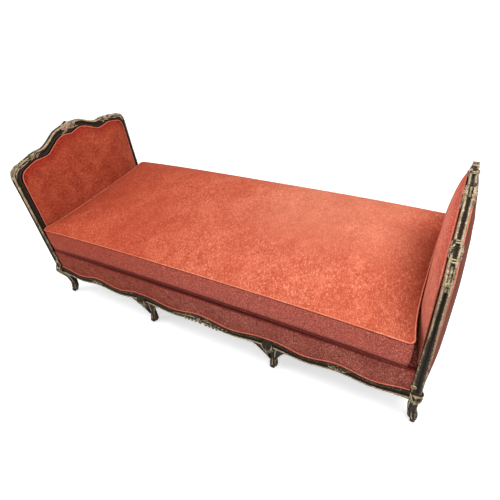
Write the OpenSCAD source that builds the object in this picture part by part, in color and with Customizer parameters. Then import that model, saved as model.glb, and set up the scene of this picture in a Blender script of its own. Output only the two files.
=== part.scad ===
/* [Overall] */
// Length over the outer faces of the end posts
frame_l = 1896; // [1500:1:2200]
// Depth over the front and rear faces of the end posts
frame_d = 762; // [640:1:1000]
// Height of the mattress top seam above the floor
seat_h = 476; // [450:1:530]
// Running clearance of a tenon in its mortise, each way
joint_fit = 0.2; // [0.1:0.05:0.5]
// Gap at which soft pieces lie on what carries them
seat_gap = 0.3; // [0.2:0.05:0.6]

/* [Mattress] */
// Thickness from the bottom seam to the top seam
mattress_t = 137; // [90:1:170]
// Rise of the top above its seam
mattress_crown = 26; // [10:1:50]
// Rise of both seams from the ends to the middle of the length
mattress_seam_lift = 14; // [0:1:36]
// How far the long sides pull in between the corners
mattress_side_in = 3; // [0:1:40]
// How far each end pulls in round the end pad
mattress_end_in = 24; // [20:1:30]
// Gap from the end pad to the mattress
mattress_fit = 1.2; // [0.6:0.1:5]
// How far the long seams stand in front of the post faces
mattress_overhang = 8; // [0:1:14]
// Corner radius in plan
mattress_corner_r = 24; // [14:1:60]
// Bulge of the boxing between the two seams
boxing_bulge = 4; // [0:0.5:5]

/* [Piping] */
// Radius of the covered cord in the seams
piping_r = 3.2; // [2:0.1:4]
// Gap from a cord to the seam that holds it
piping_gap = 0.3; // [0.2:0.05:0.5]

/* [End frames] */
// Post size along the bed
post_t = 36; // [36:1:60]
// Post size across the bed, as seen from inside
post_w = 32; // [28:1:50]
// Height of the head crest's highest line above the mattress top seam
head_rise = 392; // [300:1:460]
// Height of the foot crest's highest line above the mattress top seam
foot_rise = 343; // [300:1:460]
// Height where post and crest meet, as a share of the crest's rise
post_share = 0.592; // [0.5:0.002:0.6]
// Depth of the rebate that takes each pad
rebate_t = 8; // [5:0.5:10]
// Width of the ledge behind each pad
rebate_w = 10; // [6:0.5:14]
// Radius of the beads on the wood's edges
bead_r = 3.5; // [2:0.1:5]
// Depth of the hollow between two beads
cove_d = 3.5; // [1:0.1:5]
// Tenon length where the post enters the crest
crest_tenon_l = 28; // [15:1:40]
// Height of the stay rail that closes the opening at the deck
stay_rail_h = 45; // [30:1:60]

/* [End pads] */
// Rise of the inside pad over its edge
inside_crown = 36; // [10:1:40]
// Edge thickness of the inside pad
inside_edge = 11; // [9:0.5:16]
// Rise of the outside pad over its edge
outside_crown = 22; // [2:0.5:24]
// Edge thickness of the outside pad
outside_edge = 7; // [4:0.5:9]
// Thickness of the backing cloth
lining_t = 1.5; // [1:0.1:2]

/* [Seat rails] */
// Rail thickness behind the cloth border
rail_t = 31; // [26:1:36]
// How far the carved lower rail stands proud of the upper rail
rail_step = 19; // [14:0.5:24]
// Thickness of the carved lower rail
show_t = 32; // [26:1:40]
// Drop from the mattress top seam to the mean cord line on the carved rail
cord_line_drop = 276; // [262:1:280]
// Height of the wave in the cord line, each way
cord_line_wave = 12; // [0:0.5:14]
// Mean height of the carved rail's face
show_h = 34; // [32:1:46]
// Height of the wave in the rail's lower edge, each way
foot_line_wave = 8; // [0:0.5:9]
// Height of the upper bead strip
upper_bead_h = 7; // [4:0.5:10]
// Height of the lower bead strip
lower_bead_h = 10; // [6:0.5:12]
// Depth of the hollow between the two strips
rail_cove_d = 7; // [3:0.5:10]
// Thickness of the rail tenons
tenon_t = 11; // [8:0.5:11]
// Length of the rail tenons at the end posts
corner_tenon_l = 10; // [7:0.5:11]
// Length of the rail tenons at the middle legs
mid_tenon_l = 15; // [8:0.5:15]
// Height of the rail tenons
tenon_h = 60; // [40:1:70]

/* [Deck] */
// Height of the deck stuffing
deck_pad_t = 28; // [20:1:40]
// Thickness of the deck cloth
deck_cloth_t = 2; // [1:0.1:3]
// Thickness of one webbing strap
web_t = 1.5; // [1:0.1:2]
// Width of one webbing strap
web_w = 50; // [40:1:60]
// Straps laid across the bed
cross_webs = 19; // [12:1:24]
// Straps laid along the bed
long_webs = 6; // [4:1:8]
// How far the straps lie on the rails
web_lap = 22; // [15:1:26]
// Thickness of the cloth border over the upper rail
border_t = 9; // [5:0.5:11]

/* [Legs] */
// Width and depth of a middle leg's block
mid_block_w = 50; // [46:1:60]
// Place of the middle legs, as a share of half the length
mid_leg_share = 0.3645; // [0.3:0.005:0.45]
// Half width of a middle leg's knee
knee_half = 27; // [25:0.5:34]
// Half width of a corner leg's knee
corner_knee_half = 24; // [20:0.5:30]
// How far a corner leg's knee rises above the rail's cord line
knee_rise = 16; // [4:1:24]
// How far a corner leg's toe stands out along the bed
corner_lean = 10; // [0:1:20]
// How far a middle leg's ears hang below the rail
ear_h = 120; // [90:1:130]
// Width of a corner leg's brackets below the rails
bracket_w = 40; // [20:1:60]
// Height of a corner leg's brackets
bracket_h = 28; // [22:1:40]
// Thickness of the brackets and ears
bracket_t = 12; // [8:1:20]

/* [Bracing] */
// Side of a corner block
block_side = 70; // [50:1:90]
// Height of a corner block
block_h = 50; // [30:1:60]
// Radius of a screw's shank
screw_r = 2; // [1.5:0.1:3]
// Radius of a screw's head
screw_head_r = 4; // [3:0.1:5]
// Thickness of a screw's head
screw_head_t = 2.5; // [2:0.1:3]
// How deep a screw enters a rail
screw_bite = 18; // [10:1:24]
// Clearance round a screw's shank
screw_fit = 0.05; // [0.02:0.01:0.1]
// Cross rail size along the bed
cross_rail_t = 34; // [24:1:44]
// Cross rail height
cross_rail_h = 60; // [50:1:80]
// Thickness of the cloth under the seat
dust_cloth_t = 1.2; // [0.8:0.1:2]

/* [Hidden] */

// Colours of the finishes
wood_colour = "#3b2d1e";
beech_colour = "#b98f5c";
coral_colour = "#cf5a41";
cord_colour = "#dc7757";
jute_colour = "#b79a6a";
linen_colour = "#d8c9a8";
black_cloth_colour = "#2a2a2c";
steel_colour = "#9a9a98";

// Fineness of round and wavy shapes
round_fn = 48;
curve_steps = 3;
pad_curve_steps = 2;
wave_steps = 24;
cord_sides = 6;
overrun = 1;
block_ledge = 5;

// Places across the bed, front side negative
half_d = frame_d / 2;
opening_half = half_d - post_w;
upper_face = half_d - rail_step;
rail_back = upper_face - rail_t;
show_back = half_d - show_t;
stump_in = rail_back + block_ledge;

// Places along the bed, foot end positive
post_out = frame_l / 2;
post_in = post_out - post_t;
core_in = post_in + rebate_t;
core_out = post_out - rebate_t;
inside_back = core_in - lining_t - seat_gap;
outside_back = core_out + lining_t + seat_gap;
mid_leg_x = mid_leg_share * post_out;
mid_near = mid_leg_x - mid_block_w / 2;
mid_far = mid_leg_x + mid_block_w / 2;

// Heights
mattress_bottom = seat_h - mattress_t;
deck_top = mattress_bottom - seat_gap;
rail_top = deck_top - deck_cloth_t - deck_pad_t - 2 * web_t;
cord_line = seat_h - cord_line_drop;
foot_line = cord_line - show_h;
hidden_bottom = foot_line + 2 * foot_line_wave + dust_cloth_t;
knee_top = cord_line + cord_line_wave + knee_rise;
stay_bottom = deck_top + stay_rail_h / 2;
tenon_z = (rail_top + hidden_bottom) / 2 - tenon_h / 2;
cross_rail_z = tenon_z;
block_z = (rail_top + hidden_bottom - block_h) / 2;

// Plan of the mattress
mattress_half_l = inside_back - inside_edge - inside_crown - mattress_fit + mattress_end_in;
mattress_half_d = half_d + mattress_overhang;
long_points = 14;
short_points = 8;
corner_steps = 3;
corner_signs = [[1, 1], [-1, 1], [-1, -1], [1, -1]];
bottom_flat_share = 0.9;

// Insets of the cords and pads from the openings
cord_inset = piping_r + piping_gap;
pad_inset = 2 * cord_inset;
edge_share = 0.6;
bottom_steps = 16;

// Carved flowers and leaves
rosette_r = 17;
rosette_petals = 5;
rosette_shares = [0.78, 0.22];
rosette_drop = 18;
rosette_proud = 5;
side_flower_r = 15;
flower_proud = 4;
spray_half = 150;
spray_depth = 18;
spray_ripple = 5;
spray_lobes = 6;
spray_lap = 2.5;
spray_steps = [for (i = [-12:12]) i / 12];

// Cloth border: shares of its thickness and height, from the lower edge up
border_depth_shares = [0.45, 0.78, 1, 0.96, 0.62, 0.1];
border_height_shares = [0, 0.06, 0.4, 0.82, 0.97, 1];

// Places of the screws in a corner block
screw_place_share = 0.42;
screw_place = block_side * screw_place_share;
block_face = block_side - screw_place;
screw_high = block_h / 2 + 2 * screw_r;
screw_low = block_h / 2 - 2 * screw_r;

// Small sizes of the joints and of the brackets
crest_tenon = [16, 18];
counterbore = 6;
tenon_back = -rail_back - (rail_t - tenon_t) / 2;
end_tenon_edge = 4;
end_tenon_l = 18;
cross_tenon_l = 15;
end_show_t = 20;
bracket_lip = 3;
bracket_root = 12;

// Upper outline of the crest from its middle to its shoulder: shares of half the depth and of the rise
crest_shares = [
    [0, 1], [0.135, 0.998], [0.247, 0.974], [0.377, 0.906], [0.48, 0.872],
    [0.61, 0.870], [0.74, 0.846], [0.857, 0.821], [0.94, 0.791], [0.987, 0.735], [1, 0.66]
];
// Outline of the opening under the crest, as shares of half its width and of the rise
opening_shares = [
    [0, 0.888], [0.147, 0.912], [0.255, 0.893], [0.368, 0.842], [0.482, 0.788],
    [0.595, 0.784], [0.708, 0.793], [0.822, 0.773], [0.921, 0.745], [0.977, 0.701], [1, 0.63]
];
// Rings of a pad, from its edge to its middle, as shares of its outline
pad_ring_shares = [0.975, 0.88, 0.68, 0.38];
// Rings of the mattress top, as shares of its outline
top_ring_shares = [0.985, 0.95, 0.89, 0.78, 0.6, 0.3];
// Steepness of the swell near the edge of a pad and of the mattress
pad_power = 2.6;
mattress_power = 3.6;

// Profile of a leg from the floor up: shares of the knee height, then of the knee's half width
leg_height_shares = [0, 0.045, 0.12, 0.2, 0.29, 0.4, 0.52, 0.64, 0.76, 0.87, 1];
leg_out_shares = [-1, -0.94, -0.92, -1, -1.06, -1, -0.78, -0.4, 0.04, 0.3, 0.2];
leg_half_shares = [0.44, 0.58, 0.64, 0.56, 0.5, 0.5, 0.58, 0.74, 0.92, 1, 0.94];
leg_sides = 12;
// Lower edge of a middle leg's ear, from its tip in: shares of its reach and of its height
ear_shares = [[0.98, 0.1], [0.74, 0.15], [0.52, 0.27], [0.34, 0.43], [0.16, 0.6], [0.02, 0.8], [-0.08, 1]];
ear_stations = 3;

function mix(a, b, t) = a + (b - a) * t;
function flip_y(points) = [for (p = points) [-p[0], p[1]]];
function reversed(list) = [for (i = [len(list) - 1:-1:0]) list[i]];
function unit(v) = v / norm(v);
function swell(share, power) = 1 - pow(share, power);

// Smooth curve through the points, with a number of steps between neighbours
function spline_at(a, b, c, d, t) =
    0.5 * (2 * b + (c - a) * t)
    + 0.5 * (2 * a - 5 * b + 4 * c - d) * t * t
    + 0.5 * (3 * b - a - 3 * c + d) * t * t * t;
function smooth(points, steps) = [
    for (i = [0:len(points) - 2]) for (k = [0:steps - 1])
        let (before = points[max(i - 1, 0)], after = points[min(i + 2, len(points) - 1)])
        spline_at(before, points[i], points[i + 1], after, k / steps),
    points[len(points) - 1]
];

// Half of an outline from its middle to its side, in the plane across the bed
function half_crest(rise, lower) = [
    for (p = smooth(crest_shares, curve_steps)) [p[0] * half_d, seat_h + p[1] * rise - lower]
];
function half_opening(rise, inset, steps) = [
    for (p = smooth(opening_shares, steps))
        [p[0] * (opening_half - inset), seat_h + p[1] * rise - inset]
];
function post_top(rise) = seat_h + post_share * rise;
// From the left side over the middle to the right side
function whole(half) = concat(reversed(flip_y(half)), [for (i = [1:len(half) - 1]) half[i]]);

// Wave of a rail: high at both ends and in the middle of each section
function section_wave(x, from, to) = cos(720 * (x - from) / (to - from));
function wave(x) =
    abs(x) < mid_near ? section_wave(x, -mid_near, mid_near)
    : abs(x) < mid_far ? 1
    : section_wave(abs(x), mid_far, post_in);
function end_wave(y) = section_wave(y, -stump_in, stump_in);
function cord_z(w) = cord_line + cord_line_wave * w;
function foot_z(w) = foot_line + foot_line_wave * w;

// Closed solid over a stack of rings, with a point at each end
module skin(first, rings, last) {
    n = len(rings[0]);
    m = len(rings);
    points = concat([first], [for (ring = rings) for (p = ring) p], [last]);
    end = 1 + n * m;
    faces = concat(
        [for (k = [0:n - 1]) [0, 1 + k, 1 + (k + 1) % n]],
        [for (j = [0:m - 2]) for (k = [0:n - 1])
            [1 + j * n + k, 1 + (j + 1) * n + k, 1 + (j + 1) * n + (k + 1) % n]],
        [for (j = [0:m - 2]) for (k = [0:n - 1])
            [1 + j * n + k, 1 + (j + 1) * n + (k + 1) % n, 1 + j * n + (k + 1) % n]],
        [for (k = [0:n - 1]) [end, 1 + (m - 1) * n + (k + 1) % n, 1 + (m - 1) * n + k]]
    );
    polyhedron(points, faces);
}

// Round cord along a path that lies in a plane, square to the normal
function cord_ring(p, along, normal, r) = [
    for (k = [0:cord_sides - 1])
        let (a = 360 * (k + 0.5) / cord_sides)
        p + r * (cos(a) * normal + sin(a) * unit(cross(along, normal)))
];
function path_direction(path, i) = unit(path[min(i + 1, len(path) - 1)] - path[max(i - 1, 0)]);
module open_cord(path, normal, r) {
    rings = [for (i = [0:len(path) - 1]) cord_ring(path[i], path_direction(path, i), normal, r)];
    skin(path[0], rings, path[len(path) - 1]);
}
module closed_cord(path, normal, r) {
    n = len(path);
    rings = [for (i = [0:n - 1])
        cord_ring(path[i], unit(path[(i + 1) % n] - path[(i + n - 1) % n]), normal, r)];
    points = [for (ring = rings) for (p = ring) p];
    faces = [
        for (i = [0:n - 1]) for (k = [0:cord_sides - 1]) for (half = [0, 1])
            let (
                a = i * cord_sides + k,
                b = ((i + 1) % n) * cord_sides + k,
                c = ((i + 1) % n) * cord_sides + (k + 1) % cord_sides,
                d = i * cord_sides + (k + 1) % cord_sides
            )
            half == 0 ? [a, b, c] : [a, c, d]
    ];
    polyhedron(points, faces);
}

// Box between two corners
module block(low, high) {
    translate(low) cube(high - low);
}

// Extrudes an outline drawn across the bed (y, z) along the bed from one x to another
module along_bed(from, to) {
    translate([from, 0, 0]) rotate([90, 0, 90]) linear_extrude(to - from) children();
}
// Extrudes an outline drawn along the bed (x, z) towards the back from one y to another
module across_bed(from, to) {
    translate([0, to, 0]) rotate([90, 0, 0]) linear_extrude(to - from) children();
}

module at_head() { mirror([1, 0, 0]) children(); }
module at_rear() { mirror([0, 1, 0]) children(); }

// Crest rails
function crest_band(rise, lower, inset) = concat(
    [[-half_d, post_top(rise)]], whole(half_crest(rise, lower)), [[half_d, post_top(rise)]],
    [[opening_half - inset, post_top(rise)]], reversed(whole(half_opening(rise, inset, curve_steps))),
    [[inset - opening_half, post_top(rise)]]
);
// Rosette with five petals
module rosette(radius) {
    polygon([
        for (a = [0:9:351])
            let (share = rosette_shares[0] + rosette_shares[1] * cos(rosette_petals * (a - 90)))
            radius * share * [cos(a), sin(a)]
    ]);
}
module crest_tenon_block(rise, fit, length) {
    for (side = [-1, 1])
        translate([(post_in + post_out) / 2, side * (half_d - post_w / 2), post_top(rise) + length / 2])
            cube([crest_tenon[0] + 2 * fit, crest_tenon[1] + 2 * fit, length + 2 * fit], center = true);
}
module crest_rail(rise) color(wood_colour) difference() {
    union() {
        along_bed(post_in, core_in) polygon(crest_band(rise, 0, 0));
        along_bed(core_in, core_out) polygon(crest_band(rise, cove_d, rebate_w));
        along_bed(core_out, post_out) polygon(crest_band(rise, 0, 0));
        along_bed(post_in - rosette_proud, post_out + rosette_proud)
            translate([0, seat_h + rise - rosette_drop]) rosette(rosette_r);
    }
    crest_tenon_block(rise, joint_fit, crest_tenon_l);
}
module head_crest_rail() at_head() crest_rail(head_rise);
module foot_crest_rail() crest_rail(foot_rise);

// Legs
function leg_centre(i, base, lean, half) =
    base + [lean * (1 - leg_height_shares[i]), -leg_out_shares[i] * half];
function leg_ring(i, base, lean, height, half) = [
    for (k = [0:leg_sides - 1])
        let (
            a = 360 * (k + 0.5) / leg_sides,
            q = leg_centre(i, base, lean, half) + leg_half_shares[i] * half * [sin(a), -cos(a)]
        )
        [q[0], q[1], leg_height_shares[i] * height]
];
module leg_shape(base, lean, height, half) {
    last = len(leg_height_shares) - 1;
    rings = [for (i = [0:last]) leg_ring(i, base, lean, height, half)];
    foot = leg_centre(0, base, lean, half);
    top = leg_centre(last, base, lean, half);
    skin([foot[0], foot[1], 0], rings, [top[0], top[1], height]);
}

// Space that a side rail, its border and its piping take where a knee laps over the rail's end
module rail_room(from, to) {
    block([from, -half_d - joint_fit, foot_z(1) - joint_fit], [to, -rail_back, knee_top + overrun]);
}

// Bracket from a leg to the rail beside it: starts at the leg's face, level with the rail's lower edge
module bracket_outline(tip_drop) {
    drop = tip_drop + joint_fit;
    curve_h = bracket_h - drop - bracket_lip;
    polygon(concat(
        [[-bracket_root, overrun], [0, -joint_fit]],
        [for (a = [0:15:90])
            [bracket_w * (1 - sin(a)), -drop - bracket_lip - curve_h * (1 - cos(a))]],
        [[-bracket_root, -bracket_h]]
    ));
    polygon([[0, -joint_fit], [bracket_w, -drop], [bracket_w, -drop - bracket_lip], [0, -bracket_h]]);
}
function tip_drop(w) = foot_z(1) - foot_z(w);

// Ear beside a middle leg: it meets the rail at the rail's stations and falls in a hollow curve to the ankle
function ear_station(side, k) =
    side > 0 ? mid_far + k * (post_in - mid_far) / wave_steps : mid_near - k * 2 * mid_near / wave_steps;
module ear_outline(side) {
    root = mid_leg_x + side * mid_block_w / 2;
    reach = ear_station(side, ear_stations) - root;
    polygon(concat(
        [[mid_leg_x, foot_z(1) + overrun]],
        [for (k = [0:ear_stations]) let (x = ear_station(side, k)) [x, foot_z(wave(x)) - joint_fit]],
        [for (share = ear_shares) [root + reach * share[0], foot_z(1) - ear_h * share[1]]],
        [[mid_leg_x, foot_z(1) - ear_h]]
    ));
}

// Tenons, each with a clearance for its mortise
module side_rail_tenon(x, length, fit) {
    block(
        [x - fit, tenon_back - tenon_t - fit, tenon_z - fit],
        [x + length + fit, tenon_back + fit, tenon_z + tenon_h + fit]
    );
}
module end_rail_tenon(fit) {
    block(
        [core_out - end_tenon_edge - tenon_t - fit, -stump_in - end_tenon_l - fit, tenon_z - fit],
        [core_out - end_tenon_edge + fit, -stump_in + fit, tenon_z + tenon_h + fit]
    );
}
module stay_rail_tenon(fit) {
    translate([
        (core_in + core_out - tenon_t) / 2 - fit,
        rebate_w - opening_half - end_tenon_l - fit,
        stay_bottom + stay_rail_h / 4 - fit
    ])
        cube([tenon_t, end_tenon_l, stay_rail_h / 2] + 2 * fit * [1, 1, 1]);
}
module cross_rail_tenon(x, fit) {
    block(
        [x - tenon_t / 2 - fit, -rail_back - cross_tenon_l - fit, cross_rail_z - fit],
        [x + tenon_t / 2 + fit, -rail_back + fit, cross_rail_z + cross_rail_h + fit]
    );
}

// Plan section of an end post: beads on its corners, hollows between them, a ledge for the pads
function hollow_r(width) = (width * width / 4 + cove_d * cove_d) / (2 * cove_d);
module post_section() {
    front_hollow = hollow_r(post_t - 4 * bead_r);
    inner_hollow = hollow_r(post_w - 4 * bead_r);
    difference() {
        union() {
            translate([post_in, -half_d]) square([post_t, post_w]);
            translate([core_in, -opening_half - overrun]) square([core_out - core_in, rebate_w + overrun]);
        }
        translate([(post_in + post_out) / 2, -half_d + cove_d - front_hollow])
            circle(front_hollow, $fn = 2 * round_fn);
        translate([post_in + cove_d - inner_hollow, -half_d + post_w / 2])
            circle(inner_hollow, $fn = 2 * round_fn);
    }
}
module corner_leg(rise) color(wood_colour) difference() {
    union() {
        translate([0, 0, knee_top - overrun])
            linear_extrude(post_top(rise) - knee_top + overrun) post_section();
        block([post_in, -half_d, foot_z(1)], [post_out, -opening_half, knee_top]);
        block([post_in, -opening_half - overrun, foot_z(1)], [post_out, -stump_in, cord_z(1)]);
        block([post_in, -opening_half - overrun, foot_z(1)], [core_out, -stump_in, deck_top]);
        difference() {
            leg_shape(
                [(post_in + post_out) / 2, post_w / 2 - half_d], corner_lean, knee_top, corner_knee_half
            );
            rail_room(post_in - bracket_w, post_in);
        }
        across_bed(-show_back - bracket_t, -show_back)
            translate([post_in, foot_z(1)]) mirror([1, 0])
                bracket_outline(tip_drop(wave(post_in - bracket_w)));
        along_bed(post_out - end_show_t, post_out - end_show_t + bracket_t)
            translate([-stump_in, foot_z(1)])
                bracket_outline(tip_drop(end_wave(bracket_w - stump_in)));
        intersection() {
            crest_tenon_block(rise, 0, crest_tenon_l - joint_fit);
            block(
                [post_in, -half_d, post_top(rise) - crest_tenon_l],
                [post_out, 0, post_top(rise) + crest_tenon_l]
            );
        }
    }
    side_rail_tenon(post_in, corner_tenon_l, joint_fit);
    end_rail_tenon(joint_fit);
    stay_rail_tenon(joint_fit);
}
module head_front_leg() at_head() corner_leg(head_rise);
module head_rear_leg() at_head() at_rear() corner_leg(head_rise);
module foot_front_leg() corner_leg(foot_rise);
module foot_rear_leg() at_rear() corner_leg(foot_rise);

module mid_leg() color(wood_colour) difference() {
    union() {
        block([mid_near, -upper_face, hidden_bottom], [mid_far, -rail_back, rail_top]);
        block([mid_near, rail_cove_d - half_d, foot_z(1)], [mid_far, -show_back, cord_z(1)]);
        difference() {
            leg_shape([mid_leg_x, post_w / 2 - half_d], 0, cord_z(1) - bead_r, knee_half);
            rail_room(mid_near - bracket_w, mid_near);
            rail_room(mid_far, mid_far + bracket_w);
        }
        for (side = [-1, 1])
            across_bed(-show_back - bracket_t, -show_back) ear_outline(side);
    }
    side_rail_tenon(mid_near, mid_tenon_l, joint_fit);
    side_rail_tenon(mid_far - mid_tenon_l, mid_tenon_l, joint_fit);
    cross_rail_tenon(mid_leg_x, joint_fit);
}
module front_left_mid_leg() at_head() mid_leg();
module front_right_mid_leg() mid_leg();
module rear_left_mid_leg() at_head() at_rear() mid_leg();
module rear_right_mid_leg() at_rear() mid_leg();

// Rails along the bed
function stations(from, to, steps) = [for (i = [0:steps]) mix(from, to, i / steps)];
// The rails' own stations, all along the bed but for a gap at each end
function all_stations(gap) = concat(
    stations(gap - post_in, -mid_far, wave_steps),
    stations(-mid_near, mid_near, wave_steps),
    stations(mid_far, post_in - gap, wave_steps)
);
// Band between two wavy lines, each a height above its own line
module side_band(from, to, low, high) {
    xs = stations(from, to, wave_steps);
    polygon(concat(
        [for (x = xs) [x, low[0] + low[1] * wave(x)]],
        [for (x = reversed(xs)) [x, high[0] + high[1] * wave(x)]]
    ));
}
module end_band(low, high) {
    ys = stations(-stump_in, stump_in, wave_steps);
    polygon(concat(
        [for (y = ys) [y, low[0] + low[1] * end_wave(y)]],
        [for (y = reversed(ys)) [y, high[0] + high[1] * end_wave(y)]]
    ));
}
cord_edge = [cord_line, cord_line_wave];
foot_edge = [foot_line, foot_line_wave];
module side_rail(from, to, near_tenon, far_tenon) {
    across_bed(rail_cove_d - half_d, -show_back) side_band(from, to, foot_edge, cord_edge);
    across_bed(-half_d, rail_cove_d - half_d + overrun) {
        side_band(from, to, cord_edge - [upper_bead_h, 0], cord_edge);
        side_band(from, to, foot_edge, foot_edge + [lower_bead_h, 0]);
    }
    block([from, -upper_face, hidden_bottom], [to, -rail_back, rail_top]);
    side_rail_tenon(from - near_tenon, near_tenon + overrun, 0);
    side_rail_tenon(to - overrun, far_tenon + overrun, 0);
}
// Flower carved on the middle of a rail
module rail_flower(x, radius) {
    across_bed(-half_d - flower_proud, rail_cove_d - half_d + overrun)
        translate([x, foot_line + foot_line_wave + show_h / 2]) rosette(radius);
}
module front_rail_right() color(wood_colour) difference() {
    union() {
        side_rail(mid_far, post_in, mid_tenon_l - joint_fit, corner_tenon_l - joint_fit);
        rail_flower((mid_far + post_in) / 2, side_flower_r);
    }
    at_front_corner() screw_hole_across();
}
module front_rail_left() at_head() front_rail_right();
// Spray of leaves carved on the middle rail, with its flower hanging below the edge
function spray_top(t) =
    cord_z(wave(t * spray_half)) - upper_bead_h + spray_lap
    - spray_ripple * (1 - cos(spray_lobes * 180 * t));
function spray_foot(t) =
    foot_z(wave(t * spray_half)) + lower_bead_h - spray_lap - spray_depth * pow(1 - t * t, 4);
module leaf_spray() {
    across_bed(-half_d - flower_proud, rail_cove_d - half_d + overrun)
        polygon(concat(
            [for (t = spray_steps) [t * spray_half, spray_foot(t)]],
            [for (t = reversed(spray_steps)) [t * spray_half, spray_top(t)]]
        ));
}
module front_rail_centre() color(wood_colour) {
    side_rail(-mid_near, mid_near, mid_tenon_l - joint_fit, mid_tenon_l - joint_fit);
    leaf_spray();
}
module rear_rail_right() at_rear() front_rail_right();
module rear_rail_left() at_rear() front_rail_left();
module rear_rail_centre() at_rear() front_rail_centre();

// Rails across the ends
module end_rail() color(wood_colour) difference() {
    union() {
        along_bed(post_out - end_show_t, post_out - rail_cove_d) end_band(foot_edge, cord_edge);
        along_bed(post_out - rail_cove_d - overrun, post_out) {
            end_band(cord_edge - [upper_bead_h, 0], cord_edge);
            end_band(foot_edge, foot_edge + [lower_bead_h, 0]);
        }
        block([post_in, -stump_in, hidden_bottom], [core_out, stump_in, rail_top]);
        along_bed(post_out - rail_cove_d - overrun, post_out + flower_proud)
            translate([0, foot_line + foot_line_wave + show_h / 2]) rosette(side_flower_r);
        both_sides() intersection() {
            end_rail_tenon(0);
            block([post_in, -half_d, 0], [post_out, -stump_in, rail_top]);
        }
    }
    both_sides() at_front_corner() screw_hole_along();
}
module head_end_rail() at_head() end_rail();
module foot_end_rail() end_rail();
module both_sides() {
    children();
    at_rear() children();
}

module stay_rail() color(beech_colour) {
    block(
        [core_in, rebate_w - opening_half, stay_bottom],
        [core_out, opening_half - rebate_w, stay_bottom + stay_rail_h]
    );
    both_sides() stay_rail_tenon(0);
}
module head_stay_rail() at_head() stay_rail();
module foot_stay_rail() stay_rail();

module cross_rail() color(beech_colour) {
    block(
        [mid_leg_x - cross_rail_t / 2, -rail_back, cross_rail_z - joint_fit],
        [mid_leg_x + cross_rail_t / 2, rail_back, cross_rail_z + cross_rail_h + joint_fit]
    );
    both_sides() cross_rail_tenon(mid_leg_x, 0);
}
module left_cross_rail() at_head() cross_rail();
module right_cross_rail() cross_rail();

// Corner blocks inside the foot end's front corner; the others mirror it
module at_front_corner() {
    translate([post_in, -rail_back, block_z]) children();
}
module each_corner() {
    children();
    at_head() children();
    at_rear() children();
    at_head() at_rear() children();
}
// Screw that runs towards the front, into a side rail
module screw_across(r, extra) {
    translate([-screw_place, block_face, screw_high]) rotate([90, 0, 0])
        cylinder(r = r, h = block_face + screw_bite + extra, $fn = round_fn);
}
// Screw that runs along the bed, into an end rail
module screw_along(r, extra) {
    translate([-block_face, screw_place, screw_low]) rotate([0, 90, 0])
        cylinder(r = r, h = block_face + screw_bite + extra, $fn = round_fn);
}
module screw_hole_across() screw_across(screw_r + screw_fit, screw_fit);
module screw_hole_along() screw_along(screw_r + screw_fit, screw_fit);
module corner_block() difference() {
    linear_extrude(block_h) polygon([[0, 0], [0, block_side], [-block_side, 0]]);
    screw_hole_across();
    screw_hole_along();
    translate([-screw_place, block_face - counterbore, screw_high])
        rotate([-90, 0, 0]) cylinder(r = screw_head_r + screw_r, h = block_side, $fn = round_fn);
    translate([counterbore - block_face, screw_place, screw_low])
        rotate([0, -90, 0]) cylinder(r = screw_head_r + screw_r, h = block_side, $fn = round_fn);
}
module corner_blocks() color(beech_colour) each_corner() at_front_corner() corner_block();
module corner_screw_pair() {
    shank_start = block_face - counterbore;
    translate([-screw_place, shank_start, screw_high]) rotate([90, 0, 0]) {
        cylinder(r = screw_r, h = shank_start + screw_bite, $fn = round_fn);
        translate([0, 0, -screw_head_t]) cylinder(r = screw_head_r, h = screw_head_t, $fn = round_fn);
    }
    translate([-shank_start, screw_place, screw_low]) rotate([0, 90, 0]) {
        cylinder(r = screw_r, h = shank_start + screw_bite, $fn = round_fn);
        translate([0, 0, -screw_head_t]) cylinder(r = screw_head_r, h = screw_head_t, $fn = round_fn);
    }
}
module corner_block_screws() color(steel_colour) each_corner() at_front_corner() corner_screw_pair();

// Deck
module long_webbing() color(jute_colour)
    for (i = [0:long_webs - 1])
        translate([
            -post_in - web_lap,
            mix(-rail_back, rail_back, (i + 0.5) / long_webs) - web_w / 2,
            rail_top
        ])
            cube([2 * (post_in + web_lap), web_w, web_t]);
module cross_webbing() color(jute_colour)
    for (i = [0:cross_webs - 1])
        translate([
            mix(-post_in, post_in, (i + 0.5) / cross_webs) - web_w / 2,
            -rail_back - web_lap,
            rail_top + web_t
        ])
            cube([web_w, 2 * (rail_back + web_lap), web_t]);
module deck_pad() color(linen_colour)
    block(
        [seat_gap - post_in, seat_gap - upper_face, rail_top + 2 * web_t],
        [post_in - seat_gap, upper_face - seat_gap, deck_top - deck_cloth_t]
    );
module deck_cloth() color(coral_colour)
    block(
        [seat_gap - post_in, seat_gap - upper_face, deck_top - deck_cloth_t],
        [post_in - seat_gap, upper_face - seat_gap, deck_top]
    );
module dust_cloth() color(black_cloth_colour) difference() {
    block(
        [seat_gap - post_out + end_show_t, seat_gap - show_back, hidden_bottom - dust_cloth_t],
        [post_out - end_show_t - seat_gap, show_back - seat_gap, hidden_bottom]
    );
    for (x = [-1, 1]) for (y = [-1, 1]) {
        translate([x * (post_in - seat_gap + post_t), y * (stump_in - seat_gap + post_w), hidden_bottom])
            cube([2 * post_t, 2 * post_w, rail_t], center = true);
        translate([x * mid_leg_x, y * (rail_back - seat_gap + post_w), hidden_bottom])
            cube([mid_block_w + 2 * seat_gap, 2 * post_w, rail_t], center = true);
    }
}

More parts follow.
